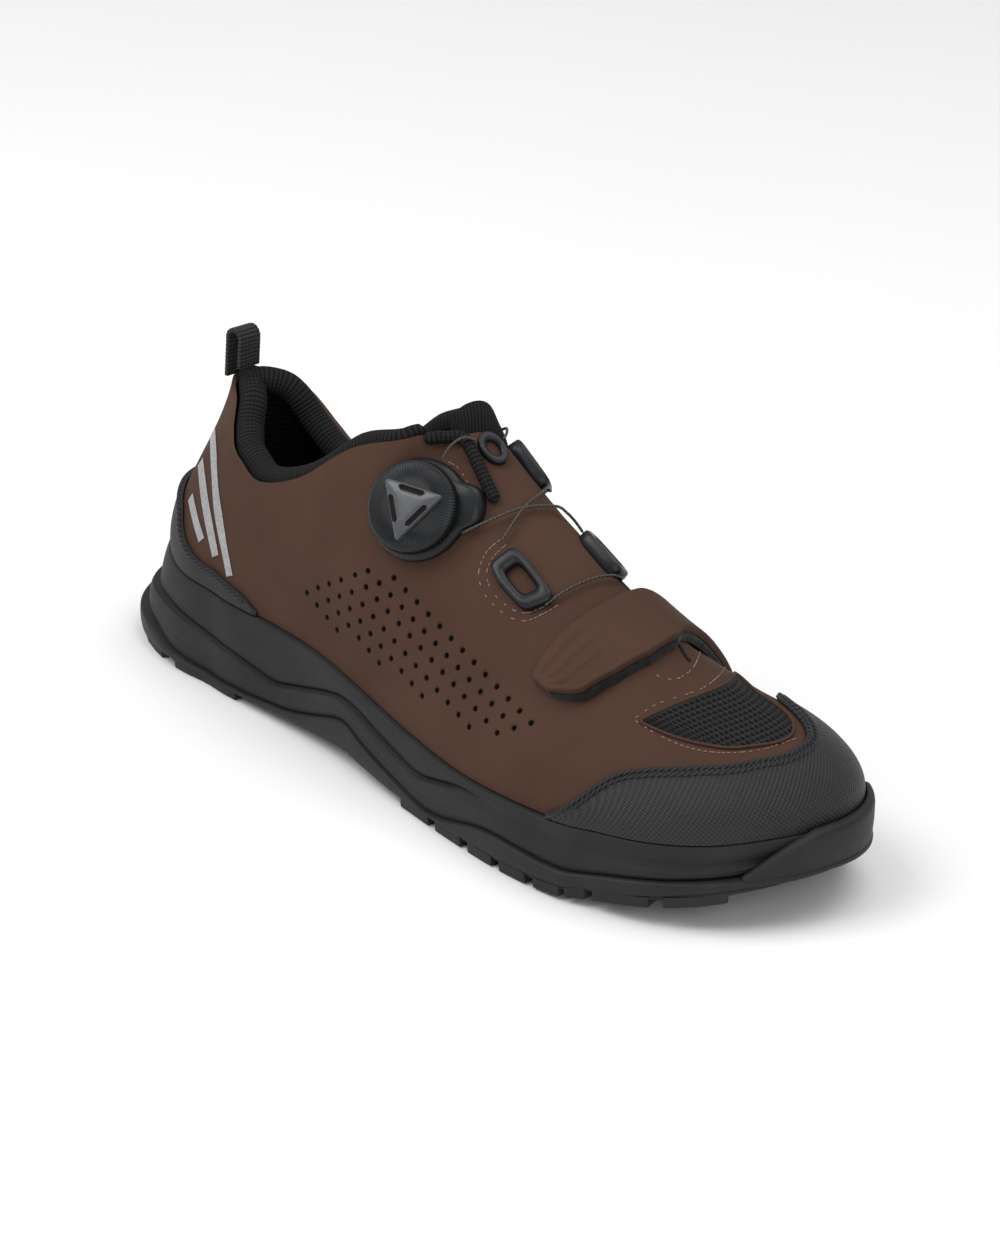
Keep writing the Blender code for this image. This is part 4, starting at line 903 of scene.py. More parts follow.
# %% [markdown]
# ## Midsole
# A moulded foam sidewall with a footbed recess on top. Its side has a ledge that waves from the heel to the
# ball, where it fades, and it swells a little between the moulding lines. Each column of the grid runs from
# the recess over the lip and down the side.
# %% Midsole
# ledge and joint of the sole on both sides: places round the shoe and heights in millimetres
LEDGE = np.array([(0, 20.8), (1.08, 20.6), (1.78, 21.5), (2.34, 20.4), (3.10, 17.6), (3.96, 16.7),
                  (4.52, 15.2), (5.13, 13.5), (5.65, 17.0), (6.55, 22.6), (6.9, 23.4), (7.77, 22.0),
                  (8.72, 16.9), (9.30, 14.0), (9.59, 15.9), (9.95, 18.5), (10.28, 20.0), (11.0, 18.5),
                  (16, 22.0)])
JOINT_ROOM = 0.0006  # least height of the joint over the lugs
JOINT = np.array([(0, 13.5), (0.76, 12.0), (1.79, 9.4), (2.18, 5.9), (2.94, 4.3), (3.98, 4.0), (4.61, 4.3),
                  (5.51, 6.8), (6.14, 10.9), (6.79, 15.6), (7.09, 15.4), (7.98, 11.5), (8.77, 7.5),
                  (9.41, 4.0), (9.85, 5.2), (10.49, 10.1), (10.73, 11.0), (11.06, 11.0), (11.62, 10.4),
                  (12.04, 10.3), (12.8, 11.4), (13.44, 14.6), (14.03, 16.8), (15, 18.8), (16, 20.0)])


def eased(table, t, reach=0.16, count=5):
    """Values between the rows of a table, with its corners rounded over a reach to both sides."""
    return np.mean([np.interp(t + d, table[:, 0], table[:, 1]) for d in np.linspace(-reach, reach, count)],
                   axis=0)


def joint_height(s):
    return np.maximum(eased(JOINT, s.t) * MM, s.ground + LUG_DEPTH + JOINT_ROOM)


sole = sizes_at(column_a)
sole.joint = joint_height(sole)
sole.ledge = np.clip(eased(LEDGE, sole.t) * MM, sole.joint + 0.004, sole.line - 0.003)
ledge_fade = np.clip((10.6 - sole.t) / 0.7, 0, 1)


def sole_ring(out_by, height):
    return placed(sole, sole.foot + out_by, height)


def band(rings, start, end, count, bulge=0.0):
    """Rings from one (distance, height) to the next, with a soft swell between them."""
    for f in np.linspace(0, 1, count + 1)[1:]:
        out_by = start[0] + (end[0] - start[0]) * f + bulge * math.sin(math.pi * f)
        rings.append(sole_ring(out_by, start[1] + (end[1] - start[1]) * f))
    return end


bed = WALL + CUP_WALL
rings = [sole_ring(-bed - CUP_DRAFT, sole.line - CUP_DEPTH), sole_ring(-bed, sole.line),
         sole_ring(CUP_LIP - 0.0005, sole.line)]
point = (CUP_LIP, sole.line - 0.0005)
rings.append(sole_ring(*point))
ledge_out, ledge_half = 0.55 * sole.cup + 0.0002, 0.0009
above = (ledge_out, sole.ledge + ledge_half)
groove = (ledge_out - 0.0011 * ledge_fade, sole.ledge)
below = (ledge_out + 0.0002 + (0.30 * sole.cup) * ledge_fade, sole.ledge - ledge_half)
lower = (sole.cup, 0.45 * sole.ledge + 0.55 * sole.joint)
last_ring = (sole.cup - SOLE_BEVEL, sole.joint + FIT_GAP)
for step, count, bulge in ((above, 16, 0.0005), (groove, 2, 0), (below, 2, 0), (lower, 8, 0.0003),
                           (last_ring, 10, 0.0004)):
    point = band(rings, point, step, count, bulge)
hand_over(loft("midsole", rings, foam.material), "black_foam", "midsole")

# %% [markdown]
# ## Outsole
# Moulded rubber: a thin plate with two heel blocks and a row of forefoot lugs along each edge, and a bumper
# that wraps up over the toe. A second moulding line runs above the forefoot lugs. The lugs are separate
# bevelled blocks that reach into the plate, as one mesh with it.
# %% Outsole
# moulding line above the forefoot lugs: place round the shoe and height in millimetres
LOWER_LINE = np.array([(9.3, 3.2), (11.28, 3.4), (11.85, 4.4), (12.37, 5.2), (13.22, 7.4), (13.84, 11.4),
                       (14.44, 14.6), (14.79, 15.7), (16, 17.0)])
# place round the shoe of both ends, and width as a share of LUG_WIDTH
EDGE_LUGS = ((0.35, 2.10, 1.15), (2.45, 4.30, 1.10), (9.00, 9.61, 1), (9.75, 10.26, 1), (10.40, 10.86, 1),
             (11.00, 11.46, 1), (11.60, 12.11, 1), (12.25, 12.81, 1), (12.95, 13.61, 1), (13.75, 14.51, 1))
# rear and front as shares of LAST_LENGTH, reach to both sides and skew as shares of BALL_WIDTH
CENTRE_LUGS = ((0.055, 0.085, 0.14, 0.04), (0.105, 0.135, 0.15, 0.04), (0.155, 0.185, 0.15, 0.04),
               (0.580, 0.612, 0.20, -0.05), (0.640, 0.672, 0.24, -0.05), (0.700, 0.732, 0.27, -0.05),
               (0.760, 0.792, 0.25, -0.05), (0.820, 0.848, 0.22, -0.05))
# place round the shoe, and height of the bumper as a share of the wall there
BUMPER = np.array([(14.667, 0.0), (15.333, 0.75), (15.667, 1.0), (17.667, 1.0), (18.333, 0.5), (18.667, 0.0)])

# %% Plate of the outsole
LUG_BEVEL, LUG_DRAFT = 0.0004, 0.0006

plate_low = sole.ground + LUG_DEPTH
rings = [sole_ring(sole.tread - SOLE_BEVEL, sole.joint), sole_ring(sole.tread - 0.0002, sole.joint - 0.0004)]
line_z = eased(LOWER_LINE, sole.t) * MM
line_on = np.clip((sole.t - 9.3) / 0.4, 0, 1)
start = (sole.tread, sole.joint - SOLE_BEVEL)
rings.append(sole_ring(*start))
for f in np.linspace(0, 1, 25)[1:]:
    z = start[1] + (plate_low - start[1]) * f
    groove = 0.0007 * line_on * np.exp(-(((z - line_z) / 0.0005) ** 2))
    rings.append(sole_ring(sole.tread - SOLE_BEVEL * f + 0.0003 * math.sin(math.pi * f) - groove, z))
plate = loft("outsole", rings, rubber.material)

# %% [markdown]
# ## Lugs and bumper
# Each lug, like the bumper, is a closed bar through a few loops of points. Its sharp edges are bevelled, as
# on moulded rubber.
# %% Lugs and bumper
def block(name, rings):
    """A closed bar through loops of equally many points, with bevelled edges."""
    bm = bmesh.new()
    loops = [[bm.verts.new(p) for p in ring] for ring in rings]
    for low, high in zip(loops, loops[1:]):
        for i in range(len(low)):
            k = (i + 1) % len(low)
            bm.faces.new((low[i], low[k], high[k], high[i]))
    bm.faces.new(loops[0][::-1])
    bm.faces.new(loops[-1])
    bmesh.ops.recalc_face_normals(bm, faces=bm.faces)
    sharp = [e for e in bm.edges if e.is_manifold and e.calc_face_angle() > math.radians(35)]
    bmesh.ops.bevel(bm, geom=sharp, offset=LUG_BEVEL, segments=2, affect="EDGES", profile=0.6)
    mesh = bpy.data.meshes.new(name)
    bm.to_mesh(mesh)
    bm.free()
    mesh.uv_layers.new(name="mm")
    mesh.materials.append(rubber.material)
    return smooth_object(name, mesh)


def edge_lug(number, start, end, width, inner_side):
    t = np.linspace(start, end, 7)
    a = ROUND - t if inner_side else t
    s = sizes_at(a)
    rings = []
    for level in (0, 1):
        shrink = LUG_DRAFT * (1 - level)
        face = s.foot + LUG_REACH * s.tread - shrink
        back = s.foot + LUG_REACH * s.tread - LUG_WIDTH * width + shrink
        z = s.ground + level * (LUG_DEPTH + LUG_ROOT)
        rings.append(np.concatenate([placed(s, face, z), placed(s, back, z)[::-1]]))
    return block(f"lug {number}", rings)


def centre_lug(number, start, end, reach, skew):
    s = sizes_at(at_share(0.5 * (start + end)))
    rear, front = start * LAST_LENGTH, end * LAST_LENGTH
    reach, skew, middle = reach * BALL_WIDTH, skew * BALL_WIDTH, float(s.pivot_y)
    plan = [(rear, middle), (rear + skew, middle - reach), (front + skew, middle - reach),
            (front, middle), (front + skew, middle + reach), (rear + skew, middle + reach)]
    low = float(s.ground)
    rings = [[(x, y, z) + np.zeros(3) + MIDDLE for x, y in plan] for z in (low, low + LUG_DEPTH + LUG_ROOT)]
    return block(f"centre lug {number}", rings)


def toe_bumper():
    a = np.linspace(BUMPER[0, 0], BUMPER[-1, 0], 90)
    share = np.interp(a, BUMPER[:, 0], BUMPER[:, 1])
    s = sizes_at(a)
    joint = joint_height(s)
    inner, outer = s.foot + np.maximum(s.cup, CUP_LIP) + FIT_GAP, s.foot + s.tread - SOLE_BEVEL / 2
    low, high = joint - 2 * SOLE_BEVEL, joint + SOLE_BEVEL + share * (s.line + SOLE_BEVEL - joint)
    edge = np.minimum(0.0022, 0.7 * (outer - inner))
    shape = [(inner, low), (outer, low), (outer + 0.0002, 0.5 * (low + high)), (outer, high - edge),
             (outer - 0.13 * edge, high - 0.5 * edge), (outer - 0.5 * edge, high - 0.13 * edge),
             (outer - edge, high), (inner, high)]
    profiles = [placed(s, np.broadcast_to(r, a.shape), np.broadcast_to(z, a.shape)) for r, z in shape]
    return block("bumper", np.stack(profiles, 1))


def joined(name, objects):
    """One mesh from several, which are used up."""
    bm = bmesh.new()
    materials = []
    for obj in objects:
        start = len(bm.faces)
        bm.from_mesh(obj.data)
        bm.faces.ensure_lookup_table()
        numbers = []
        for m in obj.data.materials:
            if m not in materials:
                materials.append(m)
            numbers.append(materials.index(m))
        for face in bm.faces[start:]:
            face.material_index = numbers[face.material_index]
    mesh = bpy.data.meshes.new(name)
    bm.to_mesh(mesh)
    bm.free()
    for m in materials:
        mesh.materials.append(m)
    for obj in objects:
        bpy.data.objects.remove(obj, do_unlink=True)
    return linked(name, mesh)


lugs = [edge_lug(k, *lug, side) for side in (False, True) for k, lug in enumerate(EDGE_LUGS)]
lugs += [centre_lug(k, *lug) for k, lug in enumerate(CENTRE_LUGS)]
outsole = joined("outsole rubber", [plate, toe_bumper()] + lugs)
hand_over(outsole, "black_rubber", "outsole")
frame["nodes"]["insole"].material_slots[0].material = lining.material

# %% [markdown]
# ## Toe cap and heel counter
# Tough woven overlays, moulded over the toe and welded round the heel where a shoe is scuffed most. Two
# raised lines with cords beside them follow the toe cap's upper edge, and one cord follows the counter's.
# %% Overlays
# place round the shoe and share of the wall that is covered
TOE_CAP_EDGE = np.array([
    (11.68, 0.02), (11.82, 0.06), (12.10, 0.145), (12.48, 0.255), (13.0, 0.400), (13.4, 0.475),
    (13.94, 0.533), (15.0, 0.585), (15.7, 0.600), (17.06, 0.615), (17.9, 0.635), (18.6, 0.640), (19.0, 0.56),
    (19.4, 0.40), (19.8, 0.22), (20.2, 0.06), (20.32, 0.02),
])
COUNTER_EDGE = np.array([(0, 0.30), (1.0, 0.335), (1.72, 0.330), (2.16, 0.233), (2.5, 0.185), (2.86, 0.160),
                         (3.14, 0.168), (3.92, 0.142), (4.34, 0.096), (4.62, 0.021)])


OVERLAY_EDGE = 0.0006
LINE_INSETS, LINE_HEIGHT, LINE_WIDTH = (0.0019, 0.0039), 0.00035, 0.00038
CAP_CORD_INSETS, CAP_CORD_RADIUS = (0.0014, 0.0036), 0.0007
COUNTER_CORD_INSET, COUNTER_CORD_RADIUS = 0.0010, 0.0008


def edge_grid(edge, columns, rows):
    """A grid from the foot line up to an edge."""
    a = np.linspace(edge[0, 0], edge[-1, 0], columns)
    high = eased(edge, a, 0.12, 7)
    return np.repeat(a[:, None], len(rows), 1), high[:, None] * rows[None]


def from_top(grid):
    run = run_along(grid, 1)
    return run[:, -1:] - run


def raised_lines(away):
    return sum(LINE_HEIGHT * np.exp(-(((away - inset) / LINE_WIDTH) ** 2)) for inset in LINE_INSETS)


def overlay(name, a, up, material, distance, relief=None):
    """A sheet on the last over a grid of places, rounded where its distance from an edge is small."""
    base = skin(a, up, OVERLAY_GAP)
    away = distance(base)
    rise = rise_at(away, OVERLAY, OVERLAY_EDGE)
    if relief is not None:
        rise = rise + relief(away)
    return shell(name, skin(a, up, OVERLAY_GAP + rise), base, material)


rows = np.unique(np.concatenate([np.linspace(0, 0.8, 24), np.linspace(0.8, 1, 34), [0.995]]))
cap_a, cap_up = edge_grid(TOE_CAP_EDGE, 260, rows)
cap = overlay("toe cap", cap_a, cap_up, woven.material, from_top, raised_lines)
hand_over(cap, "black_overlay", "toe_cap")

# %% [markdown]
# ## Cords of the overlays
# A twisted cord follows each overlay's edge at a fixed distance, where the overlay is tall enough for it.
# %% Cords
def edge_cord(name, a, up, inside, radius):
    """A cord that follows an overlay's upper edge, a little inside it."""
    run = run_along(skin(a, up, OVERLAY), 1)
    tall = run[:, -1] > 2 * inside + 0.002
    high = np.array([np.interp(r[-1] - inside, r, u) for r, u in zip(run[tall], up[tall])])
    path = skin(a[tall, 0], high, np.full(len(high), OVERLAY_GAP + OVERLAY))
    return bar(name, even_path(path, 300), radius, cord.material, sides=10)


cap_cords = [edge_cord(f"cap cord {k}", cap_a, cap_up, inset, CAP_CORD_RADIUS)
             for k, inset in enumerate(CAP_CORD_INSETS)]
hand_over(joined("toe cap cords", cap_cords), "black_overlay")

counter_edge = np.concatenate([np.stack([-COUNTER_EDGE[:0:-1, 0], COUNTER_EDGE[:0:-1, 1]], -1), COUNTER_EDGE])
counter_a, counter_up = edge_grid(counter_edge, 150, spaced(20, 25))
counter = overlay("heel counter", counter_a, counter_up, counter_cloth.material, from_edge)
hand_over(counter, "black_overlay", "heel_counter")
counter_cord = edge_cord("counter cord", counter_a, counter_up, COUNTER_CORD_INSET, COUNTER_CORD_RADIUS)
hand_over(counter_cord, "black_overlay")

# %% [markdown]
# ## Toe mesh
# Between the toe cap and the strap a band of braided mesh crosses the toe, let into the microfibre. Its
# outline is laid out in plan and dropped onto the upper. A thin brown piping and a row of tan stitches
# finish its border.
# %% Toe mesh
MESH_RISE, MESH_EDGE, PIPING_RADIUS, PIPING_LIFT = 0.0004, 0.0005, 0.00055, 0.0004
MESH_GAP = 0.00002
# place round the shoe and up, along the rear and the front border from the outer side
MESH_REAR = ((12.30, 0.625), (12.5, 0.75), (12.66, 0.887), (12.70, 1.0), (12.60, 1.12), (12.32, 1.26),
             (11.86, 1.46))
MESH_FRONT = ((12.30, 0.625), (12.92, 0.640), (13.52, 0.660), (14.38, 0.672), (15.38, 0.690), (16.66, 0.682),
              (17.3, 0.686), (17.84, 0.690), (18.8, 0.735), (19.5, 0.66), (20.14, 0.54))


def on_upper(plan, lift):
    """Drops points in plan onto the upper."""
    out = np.zeros(plan.shape[:-1] + (3,))
    ways = np.zeros_like(out)
    for index in np.ndindex(plan.shape[:-1]):
        x, y = plan[index]
        hit, way, _, _ = upper_tree.ray_cast(Vector((x, y, 0.2)), Vector((0, 0, -1)))
        if hit is None:
            hit, way, _, _ = upper_tree.find_nearest(Vector((x, y, 0.05)))
        way = way if way.z > 0 else -way
        out[index] = hit + way * lift
        ways[index] = way
    return out, ways


rear = even_path(last(*np.array(smooth_path(MESH_REAR, 60)).T), 90)[:, :2]
front = even_path(last(*np.array(smooth_path(MESH_FRONT, 90)).T), 90)[:, :2]
across = spaced(30, 30)[None, :, None]
plan = (rear[:, None] * (1 - across) + front[:, None] * across)[1:-1]
mesh_base, mesh_ways = on_upper(plan, MESH_GAP)
rise = MESH_RISE * (0.3 + 0.7 * np.clip(from_edge(mesh_base) / MESH_EDGE, 0, 1))
toe_mesh = shell("toe mesh", mesh_base + mesh_ways * rise[..., None], mesh_base, mesh_cloth.material)
hand_over(toe_mesh, "black_knit")
border_plan = np.concatenate([rear[1:-1], front[-2:0:-1]])
border = on_upper(border_plan, PIPING_LIFT)[0]
border = even_path(np.concatenate([border, border[:1]]), 220)
piping = bar("mesh piping", border, PIPING_RADIUS, brown.material, sides=8, round_ends=False)
hand_over(piping, "brown_microfibre")

# %% [markdown]
# ## Collar
# The collar's rim is a padded knitted roll, sewn inside the top of the upper. It is a bar that follows the
# rim, a little inside it.
# %% Collar
COLLAR_END, COLLAR_SWELL, COLLAR_STEPS = 7.33, 1.12, 110
collar_a = np.concatenate([np.linspace(COLLAR_END, 0, COLLAR_STEPS),
                           np.linspace(ROUND, ROUND - COLLAR_END, COLLAR_STEPS + 1)[1:]])
inwards = -facing(collar_a, 1.0) * np.array([1, 1, 0])
to_end = np.clip((COLLAR_END - np.minimum(collar_a, ROUND - collar_a)) / 1.2, 0, 1)
collar_radius = COLLAR_SWELL * COLLAR_RADIUS * (0.5 + 0.5 * to_end)
collar_path = skin(collar_a, 1.0, -WALL) + unit(inwards) * (collar_radius + FIT_GAP)[:, None]
at_heel = COLLAR_STEPS - 1
collar_crest = collar_path[at_heel, 2] + collar_radius[at_heel]
collar = bar("collar roll", collar_path, collar_radius, knit.material, sides=28)
hand_over(collar, "black_knit", "collar_lining")

# %% [markdown]
# ## Tongue
# The tongue is a padded sheet under the throat. Its first rows are arched, where its thick rounded end stands
# out above the throat, and further on it lies close under the last's surface.
# %% Tongue
# arched rows past the throat: along as a share of LAST_LENGTH, crest of INSTEP_HEIGHT, and half width and
# fall of BALL_WIDTH
TONGUE_TOP = ((0.4229, 0.987, 0.077, 0.036), (0.4282, 0.996, 0.103, 0.072), (0.4405, 0.972, 0.108, 0.103),
              (0.4529, 0.923, 0.118, 0.119))
TONGUE_MIDDLE, TONGUE_START, TONGUE_TOE = 0.028, at_share(0.462), 12
TONGUE_POINTS, TONGUE_EDGE = 11, 0.0024


def tongue_grid(inwards):
    angle = np.radians(np.linspace(-90, 90, TONGUE_POINTS))
    rows = []
    for along, crest, half, fall in TONGUE_TOP:
        y = TONGUE_MIDDLE * BALL_WIDTH + (half * BALL_WIDTH - inwards / 2) * np.sin(angle)
        z = crest * INSTEP_HEIGHT - inwards - fall * BALL_WIDTH * (1 - np.cos(angle))
        rows.append(np.stack(np.broadcast_arrays(along * LAST_LENGTH, y, z), -1) + MIDDLE)
    for t in np.concatenate([[TONGUE_START], np.arange(math.ceil(TONGUE_START * 3), TONGUE_TOE * 3 + 1) / 3]):
        reach = np.interp(t, (8, 9.5), (0.20, 0.27))
        under = -WALL - inwards - FIT_GAP * np.interp(t, (8, 9, 10), (8, 5, 3))
        rows.append(skin(t, np.linspace(1 - reach, 1 + reach, TONGUE_POINTS), under))
    return np.stack(rows)


def refined(grid, along, across):
    """A finer grid through the same points."""
    for axis, count in ((0, along), (1, across)):
        moved = np.moveaxis(grid, axis, 0)
        flat = moved.reshape(moved.shape[0], -1)
        fine = smooth_path(flat, count)
        grid = np.moveaxis(fine.reshape((count,) + moved.shape[1:]), 0, axis)
    return grid


tongue_outer, tongue_inner = (refined(tongue_grid(i), 150, 50) for i in (0.0, TONGUE_THICK))
edge = np.sqrt(1 - (1 - np.clip(from_edge(tongue_outer) / TONGUE_EDGE, 0, 1)) ** 2)[..., None]
middle = 0.5 * (tongue_outer + tongue_inner)
tongue_sides = [middle + (side - middle) * (0.12 + 0.88 * edge) for side in (tongue_outer, tongue_inner)]
tongue = shell("tongue", *tongue_sides, knit.material)
hand_over(tongue, "black_knit", "tongue")

# %% [markdown]
# ## Throat binding
# A knitted tape is folded over the front corner of the collar, where the cable passes. It is a short round
# bar that follows the upper.
# %% Binding
# along as a share of LAST_LENGTH, up, and lift in millimetres
BINDING = ((0.425, 0.962, -0.4), (0.433, 0.925, 0.9), (0.446, 0.872, 1.3), (0.485, 0.825, 1.3),
           (0.524, 0.795, 1.3))
row = smooth_path(BINDING, 70)
binding_path = skin(at_share(row[:, 0]), row[:, 1], row[:, 2] * MM)
binding = bar("throat binding", with_ends(binding_path, BINDING_RADIUS), BINDING_RADIUS, knit.material,
              sides=20)
hand_over(binding, "black_knit", "throat_binding")

# %% [markdown]
# ## Strap
# A brown strap crosses the forefoot from the inner side, over a soft black pad that keeps it off the
# instep. It ends in a free tip with pressed ribs on the outer side. Both layers use one outline, given by
# the strap's rear and front edge at places from the tip over the ridge.
# %% Strap
# up (past 1 on the inner side), rear and front edge as shares of LAST_LENGTH
STRAP = np.array([
    (0.480, 0.688, 0.711), (0.500, 0.684, 0.723), (0.530, 0.682, 0.738), (0.56, 0.681, 0.747),
    (0.62, 0.680, 0.752), (0.70, 0.681, 0.760), (0.85, 0.687, 0.768), (1.0, 0.690, 0.765),
    (1.15, 0.690, 0.753), (1.35, 0.690, 0.744), (1.55, 0.692, 0.738), (1.78, 0.696, 0.738),
])


PAD_SPREAD, PAD_EDGE, STRAP_EDGE = 0.0011, 0.0012, 0.0009
PRESSED_RIBS, PRESSED_SLANT, PRESSED_DEPTH = 4.4, 0.9, 0.0005


def strap_grid(spread):
    tip, end = STRAP[0, 0], STRAP[-1, 0]
    up = tip + (end - tip) * spaced(110, 135)
    rear = np.interp(up, STRAP[:, 0], STRAP[:, 1]) * LAST_LENGTH - spread
    front = np.interp(up, STRAP[:, 0], STRAP[:, 2]) * LAST_LENGTH + spread
    across = spaced(24, 20)
    along = (rear[:, None] + (front - rear)[:, None] * across[None]) / LAST_LENGTH
    return at_share(along), np.repeat(up[:, None], len(across), 1), across


def strap_layer(name, low, thick, spread, material, edge, shape=None):
    a, up, across = strap_grid(spread)
    base = skin(a, up, low)
    away = from_edge(base)
    rise = rise_at(away, thick, edge)
    if shape is not None:
        rise = rise + shape(across, up) * np.clip(away / 0.003, 0, 1)
    return shell(name, skin(a, up, low + rise)[:, ::-1], base[:, ::-1], material)


def pressed_ribs(across, up):
    """Four soft ribs along the strap that start at its tip."""
    fade = np.clip((0.80 - up) / 0.12, 0, 1) * np.clip((up - 0.49) / 0.04, 0, 1)
    return PRESSED_DEPTH * np.sin(2 * np.pi * (PRESSED_RIBS * across + PRESSED_SLANT * up)) * fade


strap_pad = strap_layer("strap pad", FIT_GAP, STRAP_PAD_THICK, PAD_SPREAD, pad_cloth.material, PAD_EDGE)
hand_over(strap_pad, "black_knit", "strap_pad")
strap = strap_layer("strap", 2 * FIT_GAP + STRAP_PAD_THICK, STRAP_THICK, 0.0, brown.material, STRAP_EDGE,
                    pressed_ribs)
hand_over(strap, "brown_microfibre", "strap")

# %% [markdown]
# ## Dial
# A ratchet under the knob winds the cable: turning the knob tightens the lace and lifting it lets go. The
# base is a low round housing with a tab towards the toe. The knob has a finely toothed grip, which is a row
# of copies, and a raised three-cornered top with three recesses.
# %% Dial
def seat(share, side, up):
    """Where hardware sits: its origin and its directions ahead, across and outwards."""
    a = at_share(share, side)
    origin, out = last(a, up), facing(a, up)
    way = 0.05 if side == "out" else -0.05
    ahead = last(a + way, up) - last(a - way, up)
    ahead = unit(ahead - out * np.sum(ahead * out))
    return origin, np.stack([ahead, np.cross(out, ahead), out])


DIAL_SEAT = seat(0.452, "out", 0.575)
DIAL_RADIUS, DIAL_BASE_RADIUS, DIAL_BASE_HEIGHT, DIAL_HEIGHT = 0.0155, 0.017, 0.0045, 0.0075


def seated(local, where):
    origin, turn = where
    return origin + np.asarray(local) @ turn


def turned(name, rings, where, material, around=144):
    """A closed round body from rings of (radius at each angle, height)."""
    angle = turns(around)
    grid = []
    for radius, height in rings:
        r = radius(angle) if callable(radius) else radius
        grid.append(np.stack(np.broadcast_arrays(r * np.cos(angle), r * np.sin(angle), height), -1))
    grid = seated(np.stack(grid, 1), where)
    return capped(name, grid, mm_uv(grid, True), material)


TAB_REACH, TAB_TURN, TAB_SPREAD = 0.0052, 0.15, 0.42
# inset from the housing's outline, and height over the upper, in millimetres
BASE_PROFILE = ((0, -2.6), (0, 2.2), (0.4, 3.2), (1.4, 4.0), (2.6, DIAL_BASE_HEIGHT / MM))


def base_outline(inset):
    """The housing's outline: round, with a tab ahead."""
    def radius(angle):
        tab = TAB_REACH * np.exp(-((np.angle(np.exp(1j * (angle - TAB_TURN))) / TAB_SPREAD) ** 4))
        return DIAL_BASE_RADIUS + tab - inset
    return radius


rings = [(base_outline(inset * MM), height * MM) for inset, height in BASE_PROFILE]
dial_base = turned("dial base", rings + [(0.004, DIAL_BASE_HEIGHT)], DIAL_SEAT, plastic.material)
hand_over(dial_base, "black_plastic", "dial_base")

# %% [markdown]
# ## Knob
# The knob sits on the housing. Its cap is turned so that one corner lies where the picture shows it, and its
# three recesses are cut out with bars.
# %% Knob
KNOB_LOW = DIAL_BASE_HEIGHT + FIT_GAP
KNOB_FLAT, CAP_SIZE, GRIP_RIBS, GRIP_RADIUS = 0.0055, 0.0119, 92, 0.0003
SLOT_AWAY, SLOT_REACH, SLOT_RADIUS = 0.0050, 0.0048, 0.0010
# the knob's middle and one corner of its cap in the picture
DIAL_MIDDLE, DIAL_CORNER = (424, 505), (459, 496)
corner_way = np.subtract(*seen_on((DIAL_CORNER, DIAL_MIDDLE), DIAL_SEAT, KNOB_LOW + DIAL_HEIGHT))
KNOB_TURN = math.atan2(corner_way[1], corner_way[0])


def three_cornered(size):
    """A triangle with rounded corners that reach out to size."""
    def radius(angle):
        sides = [np.maximum(np.cos(angle - KNOB_TURN - math.pi * (2 * k + 1) / 3), 0) for k in range(3)]
        return 0.54 * size / sum(side**8 for side in sides) ** (1 / 8)
    return radius


# radius from the rim and height over the base, in millimetres
KNOB_PROFILE = ((0.8, 0), (0.4, 0.5), (0.4, 3.6), (0.8, 4.4), (1.7, 4.9), (3.0, 5.2), (5.0, 5.4), (7.0, 5.5))
dial_knob = turned("dial knob", [(DIAL_RADIUS - r * MM, KNOB_LOW + z * MM) for r, z in KNOB_PROFILE]
                   + [(0.0008, KNOB_LOW + KNOB_FLAT)], DIAL_SEAT, plastic.material, around=180)
# The cap's lighter grey is painted highlight on the knob's top.
CAP_PROFILE = ((1.0, 5.0), (0.99, 6.3), (0.95, 6.9), (0.86, 7.4), (0.4, 7.5), (0.05, 7.5))
dial_cap = turned("dial cap", [(three_cornered(CAP_SIZE * r), KNOB_LOW + z * MM) for r, z in CAP_PROFILE],
                  DIAL_SEAT, satin_painted_highlight.material, around=180)
# The three recesses take the near-black recess material: painted shade inside them.
slots = []
for k in range(3):
    turn = KNOB_TURN + math.pi / 3 + 2 * math.pi * k / 3
    outwards, across = np.array([(math.cos(turn), math.sin(turn), 0), (-math.sin(turn), math.cos(turn), 0)])
    centre = outwards * SLOT_AWAY + np.array([0, 0, KNOB_LOW + DIAL_HEIGHT])
    path = centre + np.linspace(-SLOT_REACH, SLOT_REACH, 12)[:, None] * across
    slots.append(bar(f"slot {k}", seated(path, DIAL_SEAT), SLOT_RADIUS, painted_recess_shade.material))
carve(dial_cap, joined("slots", slots))
# one rib of the grip: outwards from the rim and up, in millimetres
RIB = ((-7.0, 5.5), (-5.0, 5.4), (-3.0, 5.2), (-1.4, 4.8), (-0.4, 4.1), (0.0, 3.0), (0.0, 0.8))
rib_path = np.array([(out, 0, up) for out, up in RIB]) * MM
tooth = bar("one tooth", rib_path, GRIP_RADIUS, plastic.material, sides=6)
angles = turns(GRIP_RIBS)
ring = np.stack([np.cos(angles), np.sin(angles), np.zeros(GRIP_RIBS)], -1)
grip_points = seated(ring * (DIAL_RADIUS - GRIP_RADIUS) + np.array([0, 0, KNOB_LOW]), DIAL_SEAT)
dial_axis = np.tile(DIAL_SEAT[1][2], (GRIP_RIBS, 1))
teeth = copies("dial grip", grip_points, dial_axis, ring @ DIAL_SEAT[1], tooth, plastic.material)
bpy.data.objects.remove(tooth, do_unlink=True)
hand_over(dial_knob, "black_plastic", "dial_knob")
hand_over(dial_cap, "black_plastic")
hand_over(teeth, "black_plastic")

